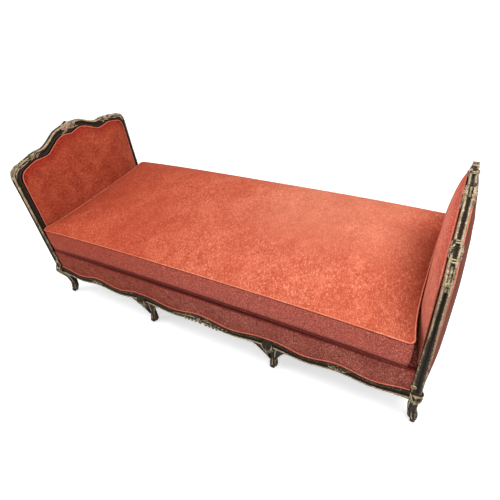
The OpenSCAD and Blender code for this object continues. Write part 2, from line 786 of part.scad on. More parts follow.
// Cloth border over the upper rail: a padded band that rolls over the deck's edge
module border() color(coral_colour) {
    rings = [for (x = all_stations(seat_gap + piping_gap))
        let (low = cord_z(wave(x)) + seat_gap, back = -upper_face - seat_gap)
        concat(
            [for (i = [0:len(border_depth_shares) - 1])
                [x, back - border_t * border_depth_shares[i], mix(low, deck_top, border_height_shares[i])]],
            [[x, back, deck_top - seat_gap], [x, back, low]]
        )];
    skin(ring_middle(rings[0]), [for (ring = rings) reversed(ring)], ring_middle(rings[len(rings) - 1]));
}
function ring_middle(ring) = (ring[1] + ring[len(ring) - 2]) / 2;
module front_border() border();
module rear_border() at_rear() border();
module border_piping() color(cord_colour)
    open_cord(
        [for (x = all_stations(seat_gap + piping_r)) [
            x,
            -upper_face - seat_gap - piping_gap - border_t - piping_r / 2,
            cord_z(wave(x)) + piping_r + piping_gap
        ]],
        [0, 1, 0], piping_r
    );
module front_border_piping() border_piping();
module rear_border_piping() at_rear() border_piping();

// Outlines in the end openings, drawn as (y, z) from the front side over the top to the rear side
function inside_outline(rise, inset, steps) = let (
        bottom = deck_top + seat_gap,
        top = whole(half_opening(rise, inset, steps)),
        w = opening_half - inset
    )
    concat(
        [for (i = [0:3]) [-w, mix(bottom, top[0][1], i / 4)]],
        top,
        [for (i = [3:-1:0]) [w, mix(bottom, top[0][1], i / 4)]]
    );
function outside_outline(rise, inset, steps) = let (
        top = whole(half_opening(rise, inset, steps)),
        w = opening_half - inset,
        bottom = cord_z(1) + inset
    )
    concat(
        [for (i = [0:4]) [-w, mix(bottom, top[0][1], i / 5)]],
        top,
        [for (i = [4:-1:0]) [w, mix(bottom, top[0][1], i / 5)]],
        [for (y = reversed(stations(-stump_in, stump_in, wave_steps))) [y, cord_z(end_wave(y)) + inset]]
    );

module backing(rise, x, bottom) color(linen_colour)
    along_bed(x, x + lining_t)
        polygon(concat(
            [[seat_gap - opening_half, bottom]],
            whole(half_opening(rise, seat_gap, curve_steps)),
            [[opening_half - seat_gap, bottom]]
        ));
module head_inside_backing() at_head() backing(head_rise, core_in - lining_t, stay_bottom);
module foot_inside_backing() backing(foot_rise, core_in - lining_t, stay_bottom);
module head_outside_backing() at_head() backing(head_rise, core_out, cord_z(1) + seat_gap);
module foot_outside_backing() backing(foot_rise, core_out, cord_z(1) + seat_gap);

// Crowned pad: flat back, edge, then rings that swell towards the middle; way is the side it faces
function pad_ring(outline, middle, share, x) = [
    for (p = outline) let (q = middle + share * (p - middle)) [x, q[0], q[1]]
];
module crowned_pad(outline, back, way, edge, crown) {
    low = min([for (p = outline) p[1]]);
    high = max([for (p = outline) p[1]]);
    middle = [0, (low + high) / 2];
    rings = concat(
        [pad_ring(outline, middle, 1, back), pad_ring(outline, middle, 1, back + way * edge * edge_share)],
        [for (s = pad_ring_shares)
            pad_ring(outline, middle, s, back + way * (edge + crown * swell(s, pad_power)))]
    );
    skin([back, middle[0], middle[1]], rings, [back + way * (edge + crown), middle[0], middle[1]]);
}
module inside_pad(rise) color(coral_colour)
    crowned_pad(
        pad_bottomed(inside_outline(rise, pad_inset, pad_curve_steps)),
        inside_back, -1, inside_edge, inside_crown
    );
// Adds the points along the lower edge of an inside pad
function pad_bottomed(outline) = concat(outline, [
    for (i = [1:bottom_steps / 2 - 1])
        mix(outline[len(outline) - 1], outline[0], 2 * i / bottom_steps)
]);
module outside_pad(rise) color(coral_colour)
    crowned_pad(
        reversed(outside_outline(rise, pad_inset, pad_curve_steps)),
        outside_back, 1, outside_edge, outside_crown
    );
module head_inside_pad() at_head() inside_pad(head_rise);
module foot_inside_pad() inside_pad(foot_rise);
module head_outside_pad() at_head() outside_pad(head_rise);
module foot_outside_pad() outside_pad(foot_rise);

module inside_piping(rise) color(cord_colour)
    open_cord(
        [for (p = inside_outline(rise, cord_inset, pad_curve_steps))
            [inside_back - inside_edge + piping_r, p[0], p[1]]],
        [1, 0, 0], piping_r
    );
module outside_piping(rise) color(cord_colour)
    closed_cord(
        [for (p = outside_outline(rise, cord_inset, pad_curve_steps))
            [outside_back + piping_r, p[0], p[1]]],
        [1, 0, 0], piping_r
    );
module head_inside_piping() at_head() inside_piping(head_rise);
module foot_inside_piping() inside_piping(foot_rise);
module head_outside_piping() at_head() outside_piping(head_rise);
module foot_outside_piping() outside_piping(foot_rise);

// Mattress
// Rounded rectangle, from the middle of the rear foot corner round by the head
function corner_point(q, k, half_l, half_w, r) = let (a = 90 * (q + k / corner_steps)) [
    corner_signs[q % 4][0] * (half_l - r) + r * cos(a),
    corner_signs[q % 4][1] * (half_w - r) + r * sin(a)
];
function rounded_rectangle(half_l, half_w, r) = [
    for (q = [0:3]) each concat(
        [for (k = [0:corner_steps]) corner_point(q, k, half_l, half_w, r)],
        let (
            n = q % 2 == 0 ? long_points : short_points,
            from = corner_point(q, corner_steps, half_l, half_w, r),
            to = corner_point((q + 1) % 4, 0, half_l, half_w, r)
        )
        [for (i = [1:n - 1]) mix(from, to, i / n)]
    )
];
// Pulls the sides of a plan outline in between its corners
function drawn_in(points, half_l, half_w) = [
    for (p = points) [
        p[0] * (1 - mattress_end_in / half_l * (1 - pow(p[1] / half_w, 2))),
        p[1] * (1 - mattress_side_in / half_w * (1 - pow(p[0] / half_l, 2)))
    ]
];
function mattress_outline(inset) = drawn_in(
    rounded_rectangle(mattress_half_l - inset, mattress_half_d - inset, mattress_corner_r - inset),
    mattress_half_l - inset, mattress_half_d - inset
);
function seam_lift(x) = mattress_seam_lift * swell(abs(x) / mattress_half_l, 3);
function at_height(points, share, z) = [
    for (p = points) [share * p[0], share * p[1], z + seam_lift(share * p[0])]
];
module mattress_cushion() color(coral_colour) {
    seam = mattress_outline(2 * piping_r + piping_gap);
    boxing = mattress_outline(2 * piping_r + piping_gap - boxing_bulge);
    rings = concat(
        [
            [for (p = seam) [bottom_flat_share * p[0], bottom_flat_share * p[1], mattress_bottom]],
            at_height(seam, 1, mattress_bottom + piping_r),
            at_height(boxing, 1, mattress_bottom + mattress_t / 3),
            at_height(boxing, 1, mattress_bottom + mattress_t * 2 / 3),
            at_height(seam, 1, seat_h)
        ],
        [for (s = top_ring_shares) at_height(seam, s, seat_h + mattress_crown * swell(s, mattress_power))]
    );
    skin([0, 0, mattress_bottom], rings, [0, 0, seat_h + seam_lift(0) + mattress_crown]);
}
module mattress_piping(z) color(cord_colour)
    closed_cord(
        [for (p = mattress_outline(piping_r)) [p[0], p[1], z + seam_lift(p[0])]],
        [0, 0, 1], piping_r
    );
module mattress_top_piping() mattress_piping(seat_h);
module mattress_bottom_piping() mattress_piping(mattress_bottom + piping_r);

head_crest_rail();
foot_crest_rail();
head_front_leg();
head_rear_leg();
foot_front_leg();
foot_rear_leg();
front_left_mid_leg();
front_right_mid_leg();
rear_left_mid_leg();
rear_right_mid_leg();
front_rail_left();
front_rail_centre();
front_rail_right();
rear_rail_left();
rear_rail_centre();
rear_rail_right();
head_end_rail();
foot_end_rail();
head_stay_rail();
foot_stay_rail();
left_cross_rail();
right_cross_rail();
corner_blocks();
corner_block_screws();
long_webbing();
cross_webbing();
deck_pad();
deck_cloth();
dust_cloth();
front_border();
rear_border();
front_border_piping();
rear_border_piping();
head_inside_backing();
foot_inside_backing();
head_outside_backing();
foot_outside_backing();
head_inside_pad();
foot_inside_pad();
head_outside_pad();
foot_outside_pad();
head_inside_piping();
foot_inside_piping();
head_outside_piping();
foot_outside_piping();
mattress_cushion();
mattress_top_piping();
mattress_bottom_piping();
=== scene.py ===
import math

import bpy
import numpy as np
from mathutils import Matrix, Vector


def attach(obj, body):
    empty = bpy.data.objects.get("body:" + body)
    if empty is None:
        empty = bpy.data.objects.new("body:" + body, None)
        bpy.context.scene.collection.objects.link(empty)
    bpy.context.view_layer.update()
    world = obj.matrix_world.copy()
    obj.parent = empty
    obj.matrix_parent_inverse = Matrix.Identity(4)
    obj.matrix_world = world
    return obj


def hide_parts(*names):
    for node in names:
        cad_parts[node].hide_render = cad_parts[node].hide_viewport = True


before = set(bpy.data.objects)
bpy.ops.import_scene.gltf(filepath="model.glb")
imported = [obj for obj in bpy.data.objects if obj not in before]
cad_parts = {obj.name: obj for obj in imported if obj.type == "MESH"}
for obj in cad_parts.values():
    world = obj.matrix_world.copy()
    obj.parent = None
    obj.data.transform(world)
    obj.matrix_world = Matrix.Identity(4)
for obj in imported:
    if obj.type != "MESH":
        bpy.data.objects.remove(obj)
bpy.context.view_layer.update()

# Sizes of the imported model, in metres
HALF_LENGTH = 0.948
HALF_DEPTH = 0.381
SEAT = 0.476
FIT = 0.0003
POST_T = 0.036
POST_W = 0.032
POST_IN = HALF_LENGTH - POST_T
POST_MID = HALF_LENGTH - POST_T / 2
POST_Y = POST_W / 2 - HALF_DEPTH
OPENING_HALF = HALF_DEPTH - POST_W
REBATE = 0.008
UPPER_FACE = 0.362
RAIL_BACK = 0.331
SHOW_BACK = 0.349
END_SHOW_BACK = HALF_LENGTH - 0.020
STUMP_IN = 0.336
CORD_LINE = SEAT - 0.276
CORD_WAVE = 0.012
FOOT_LINE = CORD_LINE - 0.034
FOOT_WAVE = 0.008
KNEE_TOP = CORD_LINE + CORD_WAVE + 0.016
MID_LEG_X = 0.3645 * HALF_LENGTH
MID_NEAR = MID_LEG_X - 0.025
MID_FAR = MID_LEG_X + 0.025
MATTRESS_BOTTOM = SEAT - 0.137
DECK_TOP = MATTRESS_BOTTOM - FIT
RAIL_TOP = DECK_TOP - 0.033
LINING_T = 0.0015
DECK_CLOTH_T = 0.002
STRAP_T = 0.0015
STRAP_W = 0.05
DUST_T = 0.0012
HIDDEN_BOTTOM = FOOT_LINE + 2 * FOOT_WAVE + DUST_T
INSIDE_BACK = POST_IN + REBATE - LINING_T - FIT
OUTSIDE_BACK = HALF_LENGTH - REBATE + LINING_T + FIT

# Depth of the padding on an end's inner and outer face, at the edge and added in the middle
INSIDE_EDGE = 0.0075
INSIDE_CROWN = 0.036
OUTSIDE_EDGE = 0.0068
OUTSIDE_CROWN = 0.0205

# The mattress: its ends and sides are drawn in at the middle, and its seams rise towards the middle
MATTRESS_GAP = 0.0055
END_BOW = 0.024
SIDE_BOW = 0.003
MATTRESS_HALF_L = INSIDE_BACK - INSIDE_EDGE - INSIDE_CROWN - MATTRESS_GAP + END_BOW
MATTRESS_HALF_D = HALF_DEPTH + 0.008
MATTRESS_R = 0.024
SEAM_LIFT = 0.014
CROWN = 0.0215
CROWN_LIMIT = 0.0262
PUFF = 0.0045
BOXING_BULGE = 0.0042
BOXING_LEAN = 0.0022
BOXING_DENT = 0.0011
WELT_R = 0.0029

# Name, side of the bed and rise of each end, and name and side of each long side
ENDS = (("head", -1, 0.392), ("foot", 1, 0.343))
SIDES = (("front", 1), ("rear", -1))

# Outlines as shares of the end's half width and of its rise
POST_SHARE = 0.592
CREST_SHARES = np.array([
    [0, 1], [0.135, 0.998], [0.247, 0.974], [0.377, 0.906], [0.48, 0.872], [0.61, 0.870],
    [0.74, 0.846], [0.857, 0.821], [0.94, 0.791], [0.987, 0.735], [1, 0.66], [1, POST_SHARE]])
OPENING_SHARES = np.array([
    [0, 0.888], [0.147, 0.912], [0.255, 0.893], [0.368, 0.842], [0.482, 0.788], [0.595, 0.784],
    [0.708, 0.793], [0.822, 0.773], [0.921, 0.745], [0.977, 0.701], [1, 0.63], [1, POST_SHARE]])


# Mesh making

def xyz(x, y, z):
    """Points of three coordinates, each a number or an array."""
    return np.stack(np.broadcast_arrays(x, y, z), -1)


def rows_of(*columns):
    """Table whose columns are numbers or arrays."""
    return np.column_stack(np.broadcast_arrays(*columns))


def unit(v):
    """Vectors divided by their lengths."""
    return v / np.maximum(np.linalg.norm(v, axis=-1, keepdims=True), 1e-12)


def smoothstep(low, high, value):
    """0 below low, 1 above high, and the cubic 3t^2 - 2t^3 between."""
    t = np.clip((value - low) / (high - low), 0, 1)
    return t * t * (3 - 2 * t)


def bell(value, middle, width):
    """1 at the middle, and e^-1 at a width from it: the curve e^(-d^2)."""
    return np.exp(-((value - middle) / width) ** 2)


def spline(points, steps):
    """Catmull-Rom curve through the points: each span is the cubic whose slopes are half the neighbours'
    chord."""
    p = np.asarray(points, float)
    q = np.vstack([p[:1], p, p[-1:]])
    t = np.linspace(0, 1, steps, endpoint=False)[None, :, None]
    a, b, c, d = (q[i:len(q) - 3 + i, None, :] for i in range(4))
    squared, cubed = 2 * a - 5 * b + 4 * c - d, 3 * b - a - 3 * c + d
    body = 0.5 * (2 * b + (c - a) * t + squared * t ** 2 + cubed * t ** 3)
    return np.vstack([body.reshape(-1, p.shape[1]), p[-1:]])


def resample(points, count, by=None):
    """Points at equal distances along a line, or along another line with as many points, by linear
    interpolation."""
    p = np.asarray(points, float)
    s = np.concatenate([[0], np.cumsum(np.linalg.norm(np.diff(p if by is None else by, axis=0), axis=1))])
    at = np.linspace(0, s[-1], count)
    return np.stack([np.interp(at, s, column) for column in p.T], 1)


def directions(path, closed=False):
    """Unit directions along a path, each from the difference of its neighbours."""
    return unit(np.roll(path, -1, 0) - np.roll(path, 1, 0) if closed else np.gradient(path, axis=0))


def ripple(x, y, z, seed, size):
    """Soft unevenness from -1 to 1: products of sines of turned coordinates at three wavelengths."""
    k = 2 * np.pi / size
    a = np.sin(k * (x * 0.8 + y * 0.6 + seed)) * np.sin(k * (0.7 * y - 0.5 * x + z * 0.9 + 2.1 * seed))
    b = np.sin(k * 1.9 * (x * 0.3 - y * 0.95 + 1.3 * seed)) * np.sin(k * 1.7 * (0.9 * x + z + 0.4 * y + seed))
    c = np.sin(k * 0.45 * (x + 0.35 * y + 3 * seed)) * np.sin(k * 0.5 * (y - 0.2 * x + z + seed))
    return 0.4 * a + 0.2 * b + 0.4 * c


def grid_quads(rows, cols, wrap_rows=False, wrap_cols=False):
    """Quads between neighbouring grid points, numbered row by row."""
    i = np.arange(rows if wrap_rows else rows - 1)[:, None]
    j = np.arange(cols if wrap_cols else cols - 1)[None, :]
    i2, j2 = (i + 1) % rows, (j + 1) % cols
    return np.stack([i * cols + j, i * cols + j2, i2 * cols + j2, i2 * cols + j], -1).reshape(-1, 4)


def outward(shell):
    """Turns a closed shell's faces outwards: its signed volume is made positive."""
    points, faces, relief = shell
    volume = 0.0
    for f in faces:
        for k in range(1, f.shape[1] - 1):
            a, b, c = points[f[:, 0]], points[f[:, k]], points[f[:, k + 1]]
            volume += np.einsum("ij,ij->i", a, np.cross(b, c)).sum()
    return (points, [f[:, ::-1] for f in faces], relief) if volume < 0 else shell


def shell_over(rings, relief=0.0, closed=False):
    """Shell (points, faces, relief) over rows of rings: the last row meets the first, or a fan closes
    each end."""
    rows, cols = rings.shape[:2]
    points = rings.reshape(-1, 3)
    faces = [grid_quads(rows, cols, wrap_rows=closed, wrap_cols=True)]
    value = np.broadcast_to(relief, (rows, cols)).reshape(-1)
    if not closed:
        k = np.arange(cols)
        fan = np.stack([k, (k + 1) % cols, np.full(cols, rows * cols)], 1)
        faces += [fan[:, ::-1], fan + [(rows - 1) * cols, (rows - 1) * cols, 1]]
        points = np.vstack([points, rings[0].mean(0), rings[-1].mean(0)])
        value = np.concatenate([value, [value[:cols].mean(), value[-cols:].mean()]])
    return outward((points, faces, value))


def moved(shell, matrix, offset=(0, 0, 0)):
    """A shell turned by a 3 by 3 matrix, then shifted; a mirror keeps its faces outwards."""
    points, faces, relief = shell
    if np.linalg.det(matrix) < 0:
        faces = [f[:, ::-1] for f in faces]
    return points @ matrix.T + offset, faces, relief


def mirrored(shells, x=1, y=1):
    """The shells mirrored across x = 0, y = 0 or both."""
    return [moved(s, np.diag([x, y, 1.0])) for s in shells]


def at_angle(degrees):
    """Matrix of a turn about z."""
    a = math.radians(degrees)
    return np.array([[math.cos(a), -math.sin(a), 0], [math.sin(a), math.cos(a), 0], [0, 0, 1]])


def facing(normal, along):
    """Matrix whose third column is the normal, and whose first lies along the given direction."""
    n = unit(np.asarray(normal, float))
    a = np.asarray(along, float)
    a = unit(a - n * (a @ n))
    return np.column_stack([a, np.cross(n, a), n])


def piece(name, shells, material, node, body="frame"):
    """Joins closed shells into one object with a point attribute named relief, and lets it ride on a body."""
    starts = np.cumsum([0] + [len(points) for points, faces, relief in shells])
    faces = [f + start for shell, start in zip(shells, starts) for f in shell[1]]
    loops = np.concatenate([f.reshape(-1) for f in faces])
    sizes = np.concatenate([np.full(len(f), f.shape[1]) for f in faces])
    points = np.vstack([shell[0] for shell in shells])
    relief = np.concatenate([shell[2] for shell in shells])
    mesh = bpy.data.meshes.new(name)
    mesh.vertices.add(len(points))
    mesh.vertices.foreach_set("co", points.astype(np.float32).reshape(-1))
    mesh.loops.add(len(loops))
    mesh.loops.foreach_set("vertex_index", loops.astype(np.int32))
    mesh.polygons.add(len(sizes))
    mesh.polygons.foreach_set("loop_start", (np.cumsum(sizes) - sizes).astype(np.int32))
    mesh.polygons.foreach_set("loop_total", sizes.astype(np.int32))
    mesh.polygons.foreach_set("use_smooth", np.ones(len(sizes), bool))
    mesh.update(calc_edges=True)
    mesh.validate()
    mesh.attributes.new("relief", "FLOAT", "POINT").data.foreach_set("value", relief.astype(np.float32))
    mesh.materials.append(material)
    made = bpy.data.objects.new(name, mesh)
    bpy.context.scene.collection.objects.link(made)
    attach(made, body)
    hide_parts(node)
    return made


def ellipses(path, across, normal, wide, thick, sides):
    """Rings round a path: wide times the cosine of the angle across it, thick times the sine along the
    normal."""
    a = np.linspace(0, 2 * np.pi, sides, endpoint=False)[None, :, None]
    return path[:, None] + wide * np.cos(a) * across[:, None] + thick * np.sin(a) * normal[:, None]


def cord(path, radius, closed=True, lumps=0.03):
    """Round cord: at each path point a circle square to the path, its radius rippled a little along the
    length."""
    along = directions(path, closed)
    side = unit(np.cross(along, [0, 0, 1] if np.abs(along[:, 2]).max() < 0.9 else [1, 0, 0]))
    s = np.arange(len(path))[:, None, None]
    r = radius * (1 + lumps * np.sin(s * 1.7) * np.sin(s * 0.61))
    return shell_over(ellipses(path, side, np.cross(side, along), r, r, 10), closed=closed)


def ribbon(path, across, wide, thick, relief=0.9, lobes=0):
    """Flat bar along a path: an ellipse with its long axis across; the ends shrink to small caps, and
    lobes swell it."""
    across = unit(np.broadcast_to(np.asarray(across, float), path.shape))
    normal = unit(np.cross(directions(path), across))
    s = np.linspace(0, 1, len(path))
    taper = 0.25 + 0.75 * np.sin(np.pi * np.clip(s * 0.94 + 0.03, 0, 1)) ** 0.35
    taper = (taper * (1 - 0.22 * np.abs(np.cos(np.pi * lobes * s)) * (lobes > 0)))[:, None, None]
    return shell_over(ellipses(path, across, normal, taper * wide, taper * thick, 12), relief)


# Materials

def tone(red, green, blue):
    """Linear colour from the usual 0 to 255 values."""
    v = np.array([red, green, blue]) / 255
    return tuple(np.where(v <= 0.04045, v / 12.92, ((v + 0.055) / 1.055) ** 2.4)) + (1.0,)


def scaled(colour, factor):
    """A colour times a factor, up to white."""
    return tuple(min(1.0, c * factor) for c in colour[:3]) + (1.0,)


class Value:
    """A number that varies over a surface: operators on it add Math nodes."""

    def __init__(self, tree, socket):
        self.tree, self.socket = tree, socket

    def math(self, operation, other=None, clamp=False, first=False):
        """One Math node on this value and another one, which may come first."""
        inputs = (self, other) if not first else (other, self)
        return self.tree.node("ShaderNodeMath", {"operation": operation, "use_clamp": clamp},
                              {i: v for i, v in enumerate(inputs) if v is not None})

    def __add__(self, other):
        return self.math("ADD", other)

    def __sub__(self, other):
        return self.math("SUBTRACT", other)

    def __rsub__(self, other):
        return self.math("SUBTRACT", other, first=True)

    def __mul__(self, other):
        return self.math("MULTIPLY", other)

    __radd__ = __add__
    __rmul__ = __mul__

    def clamp(self):
        """This value held between 0 and 1."""
        return self.math("ADD", 0.0, clamp=True)

    def between(self, low, high):
        """Smooth step of this value from low to high."""
        return self.tree.node("ShaderNodeMapRange", {"interpolation_type": "SMOOTHSTEP"},
                              {"Value": self, "From Min": low, "From Max": high})


class Tree:
    """A tree of nodes that all come from one method."""

    def __init__(self, tree):
        self.tree = tree

    def put(self, socket, value):
        """Links a value to a socket, or sets a plain number or colour on it."""
        if isinstance(value, Value):
            self.tree.links.new(value.socket, socket)
        else:
            socket.default_value = value

    def node(self, kind, settings, sockets, output=0):
        """A node of one kind, with its settings first and then the values of its sockets."""
        made = self.tree.nodes.new(kind)
        for name, value in settings.items():
            setattr(made, name, value)
        for name, value in sockets.items():
            self.put(made.inputs[name], value)
        return Value(self, made.outputs[output])

    def outputs(self, value, *names):
        """Other outputs of the node that a value comes from."""
        return [Value(self, value.socket.node.outputs[name]) for name in names]


class Finish(Tree):
    """One material."""

    def __init__(self, name):
        self.material = bpy.data.materials.new(name)
        self.material.use_nodes = True
        super().__init__(self.material.node_tree)
        self.shader = self.tree.nodes["Principled BSDF"]

    def place(self, size, turn=(0, 0, 0)):
        """Object coordinates counted in cells of the given size, in metres, along turned axes."""
        raw = self.node("ShaderNodeTexCoord", {}, {}, output="Object")
        size = (size, size, size) if isinstance(size, float) else size
        return self.node("ShaderNodeMapping", {"vector_type": "TEXTURE"},
                         {"Vector": raw, "Scale": size, "Rotation": turn})

    def axes(self, size):
        """The three object coordinates, counted in cells of the given size."""
        return self.outputs(self.node("ShaderNodeSeparateXYZ", {}, {"Vector": self.place(size)}), 0, 1, 2)

    def noise(self, size, detail=3.0, roughness=0.55, distortion=0.0, turn=(0, 0, 0)):
        """Noise whose cells have the given size, from 0 to 1 round a mean of a half."""
        return self.node("ShaderNodeTexNoise", {}, {
            "Vector": self.place(size, turn), "Scale": 1.0, "Detail": detail, "Roughness": roughness,
            "Distortion": distortion})

    def attribute(self, name):
        """The mesh's own value of that name at each point."""
        return self.node("ShaderNodeAttribute", {"attribute_name": name}, {}, output="Fac")

    def mix(self, share, first, second, blend="MIX"):
        """The first colour, blended with the second by a share."""
        return self.node("ShaderNodeMix", {"data_type": "RGBA", "blend_type": blend},
                         {0: share, 6: first, 7: second}, output=2)

    def over(self, colour, mask, share, other, blend="MIX"):
        """Another colour laid over this one by a mask, up to a share."""
        return self.mix((mask * share).clamp(), colour, other, blend)

    def bump(self, height, distance, strength):
        """Normals tilted as by a height of the given distance in metres."""
        return self.node("ShaderNodeBump", {}, {"Height": height, "Distance": distance, "Strength": strength})

    def surface(self, **sockets):
        """The material, with the shader's sockets set."""
        for name, value in sockets.items():
            self.put(self.shader.inputs[name.replace("_", " ")], value)
        return self.material


def velvet(name, base, light, dark, side, turn=0.0, streak=0.5, head_shade=1.0, pale=0.0):
    """Chenille velvet: pale fibres combed across the bed over a mottled ground.

    The relief attribute is 0 on open cloth, 0.5 on an upright side, which takes the side colour as painted
    shade, and 1 in a seam's painted shadow. The colour is painted deeper and redder towards the head end as
    shade, by the given share. On the mattress it also has a painted highlight on the far half between the
    right middle leg and the foot end, and a painted shadow where the foot end's panel stands over it."""
    f = Finish(name)
    base, light, dark, side = (tone(*colour) for colour in (base, light, dark, side))
    relief = f.attribute("relief")
    fibre = f.noise((0.0040, 0.016, 0.0040), 2.0, 0.55, 0.4, turn=(0, 0, turn))
    fleck = f.noise((0.0034, 0.0070, 0.0034), 2.0, 0.6, 0.3, turn=(0, 0, turn))
    mottle = f.noise(0.014, 3.0, 0.62, 0.8)
    cloud = f.noise((0.055, 0.075, 0.055), 3.0, 0.6, 0.6)
    broad = f.noise((0.20, 0.26, 0.20), 2.0, 0.5)
    speckle = f.noise(0.0062, 2.0, 0.6, 0.4)
    blotch = f.noise(0.0085, 2.0, 0.6, 1.2)
    east, north, up = f.axes(1.0)

    ground = mottle.between(0.34, 0.66) * 0.5 + cloud.between(0.34, 0.66) * 0.5
    colour = f.mix(ground.clamp(), dark, base)
    colour = f.over(colour, fibre.between(0.50, 0.64), streak, light)
    colour = f.over(colour, fleck.between(0.55, 0.74), 0.4, light)
    colour = f.over(colour, broad.between(0.38, 0.62), 0.35, dark)
    colour = f.over(colour, speckle.between(0.56, 0.42), 0.6, dark)
    if pale:
        # Painted highlight on the far half between the right middle leg and the foot end.
        painted_highlight = east.between(-0.1, 0.3) * east.between(0.88, 0.66) * north.between(-0.22, 0.12)
        colour = f.over(colour, painted_highlight, pale, light)
        # Painted shadow where the foot end's panel stands over the mattress.
        shaded = east.between(0.66, 0.86) * north.between(-0.6, 0.0) * north.between(0.32, 0.12)
        colour = f.over(colour, shaded, 1.0, (0.64, 0.62, 0.60, 1.0), "MULTIPLY")

    # Painted shade on upright sides: the side colour with its own mottle, where the relief is about a half.
    aside = f.mix(blotch.between(0.42, 0.56), scaled(side, 0.50), side)
    aside = f.over(aside, cloud.between(0.40, 0.62), 0.4, scaled(side, 0.66))
    aside = f.over(aside, speckle.between(0.56, 0.44), 0.62, scaled(side, 0.5))
    aside = f.over(aside, fleck.between(0.50, 0.62), 0.85, scaled(side, 1.85))
    colour = f.mix(relief.between(0.05, 0.45), colour, aside)
    # Painted shade: deeper and redder towards the head end, by the given share.
    colour = f.over(colour, 1 - east.between(-0.75, 0.35), head_shade, (0.86, 0.62, 0.52, 1.0), "MULTIPLY")
    # Painted shadow in the seams, where the relief nears 1.
    colour = f.over(colour, relief.between(0.55, 1.0), 0.93, tone(66, 12, 12))
    return f.surface(Base_Color=colour, Roughness=0.92, Sheen_Weight=0.10, Sheen_Roughness=0.5,
                     Sheen_Tint=tone(235, 170, 140), Specular_IOR_Level=0.10,
                     Normal=f.bump(fibre * 0.6 + mottle * 0.4, 0.0012, 0.6))


def gilded_wood(name):
    """Dark stained wood with worn gilding.

    It is gilt where the relief stands proud, red-brown ground round that, and bare wood below. A relief
    over 1 gives the flowers a pink tone, a painted reflection of the velvet beside them."""
    f = Finish(name)
    relief = f.attribute("relief")
    wear = f.noise(0.0050, 4.0, 0.7, 0.5)
    speck = f.noise(0.0029, 2.0, 0.6)
    patch = f.noise(0.024, 3.0, 0.6)
    grain = f.noise((0.012, 0.012, 0.003), 3.0, 0.6)
    wood = f.mix(grain.between(0.3, 0.7), tone(22, 16, 10), tone(46, 35, 22))
    bright = speck.between(0.36, 0.62) * 0.7 + patch.between(0.4, 0.6) * 0.3
    gilt = f.mix(bright.clamp(), tone(100, 84, 62), tone(200, 182, 148))
    level = relief.math("MINIMUM", 1.0) * 1.2 + (wear - 0.5) * 1.7 + (patch - 0.5) * 0.7
    mask = level.between(0.52, 0.78)
    colour = f.mix(level.between(0.30, 0.56), wood, tone(84, 64, 44))
    colour = f.mix(mask, colour, gilt)
    # Painted reflection of the velvet: the flowers turn pink where the relief is over 1.
    colour = f.over(colour, relief.between(1.02, 1.3), wear.between(0.40, 0.56), tone(184, 142, 120))
    return f.surface(Base_Color=colour, Roughness=0.62 - mask * 0.16, Specular_IOR_Level=0.22,
                     Metallic=(mask * 0.15).clamp(), Normal=f.bump(wear + mask * 0.4, 0.0009, 0.6))


def cloth(name, base, dark, thread=0.0011):
    """Plain weave: threads both ways as products of two wave patterns, with slight unevenness."""
    f = Finish(name)
    x, y, z = f.axes(thread)
    weave = x.math("SINE") * y.math("SINE") + z.math("SINE") * 0.5
    share = weave * 0.25 + f.noise(0.016, 4.0) * 0.8
    return f.surface(Base_Color=f.mix(share.clamp(), tone(*dark), tone(*base)), Roughness=0.85,
                     Normal=f.bump(weave, 0.0004, 0.5))


def plain_wood(name, base, dark):
    """Unfinished wood: long grain lines with short flecks."""
    f = Finish(name)
    grain = f.noise((0.05, 0.05, 0.0045), 4.0, 0.6, 0.4)
    fleck = f.noise((0.002, 0.016, 0.002), 2.0)
    share = grain * 0.8 + fleck.between(0.6, 0.75) * 0.4
    return f.surface(Base_Color=f.mix(share.clamp(), tone(*base), tone(*dark)), Roughness=0.6,
                     Normal=f.bump(grain, 0.0003, 0.5))


def steel(name):
    """Bright steel with fine scratches."""
    f = Finish(name)
    colour = f.mix(f.noise(0.0011, 2.0), tone(150, 150, 148), tone(190, 189, 186))
    return f.surface(Base_Color=colour, Metallic=1.0, Roughness=0.35)


WOOD = gilded_wood("dark wood with worn gilding")
# The last colour of each velvet is painted shade, used where the relief is about a half: upright sides and
# panel edges.
MATTRESS_TOP = velvet("mattress velvet", (216, 116, 86), (234, 160, 128), (174, 70, 48), (176, 89, 76),
                      turn=0.12, streak=0.6, pale=0.20)
# The mattress's velvet painted darker and mauver as shade, for the band's front face; the deck cloth uses it
# too.
SHADED_BASE_VELVET = velvet("base velvet painted darker", (180, 92, 78), (230, 162, 144), (106, 36, 30), (116, 38, 30),
                     turn=0.2, streak=0.6)
END_VELVET = velvet("end panel velvet", (200, 97, 66), (222, 130, 98), (142, 48, 30), (150, 44, 30),
                    streak=0.4, head_shade=0.0)
# The panels' velvet painted paler as light, for the inside of the foot end.
LIT_FOOT_VELVET = velvet("foot panel velvet painted lighter", (238, 148, 126), (246, 180, 158), (196, 98, 80), (190, 84, 68),
                     streak=0.4, head_shade=0.0)
# The panels' velvet painted darker as shade, for the outsides of the ends.
SHADED_OUTER_VELVET = velvet("outside panel velvet painted darker", (118, 56, 42), (140, 76, 58), (88, 36, 27), (98, 40, 30),
                      streak=0.3, head_shade=0.0)
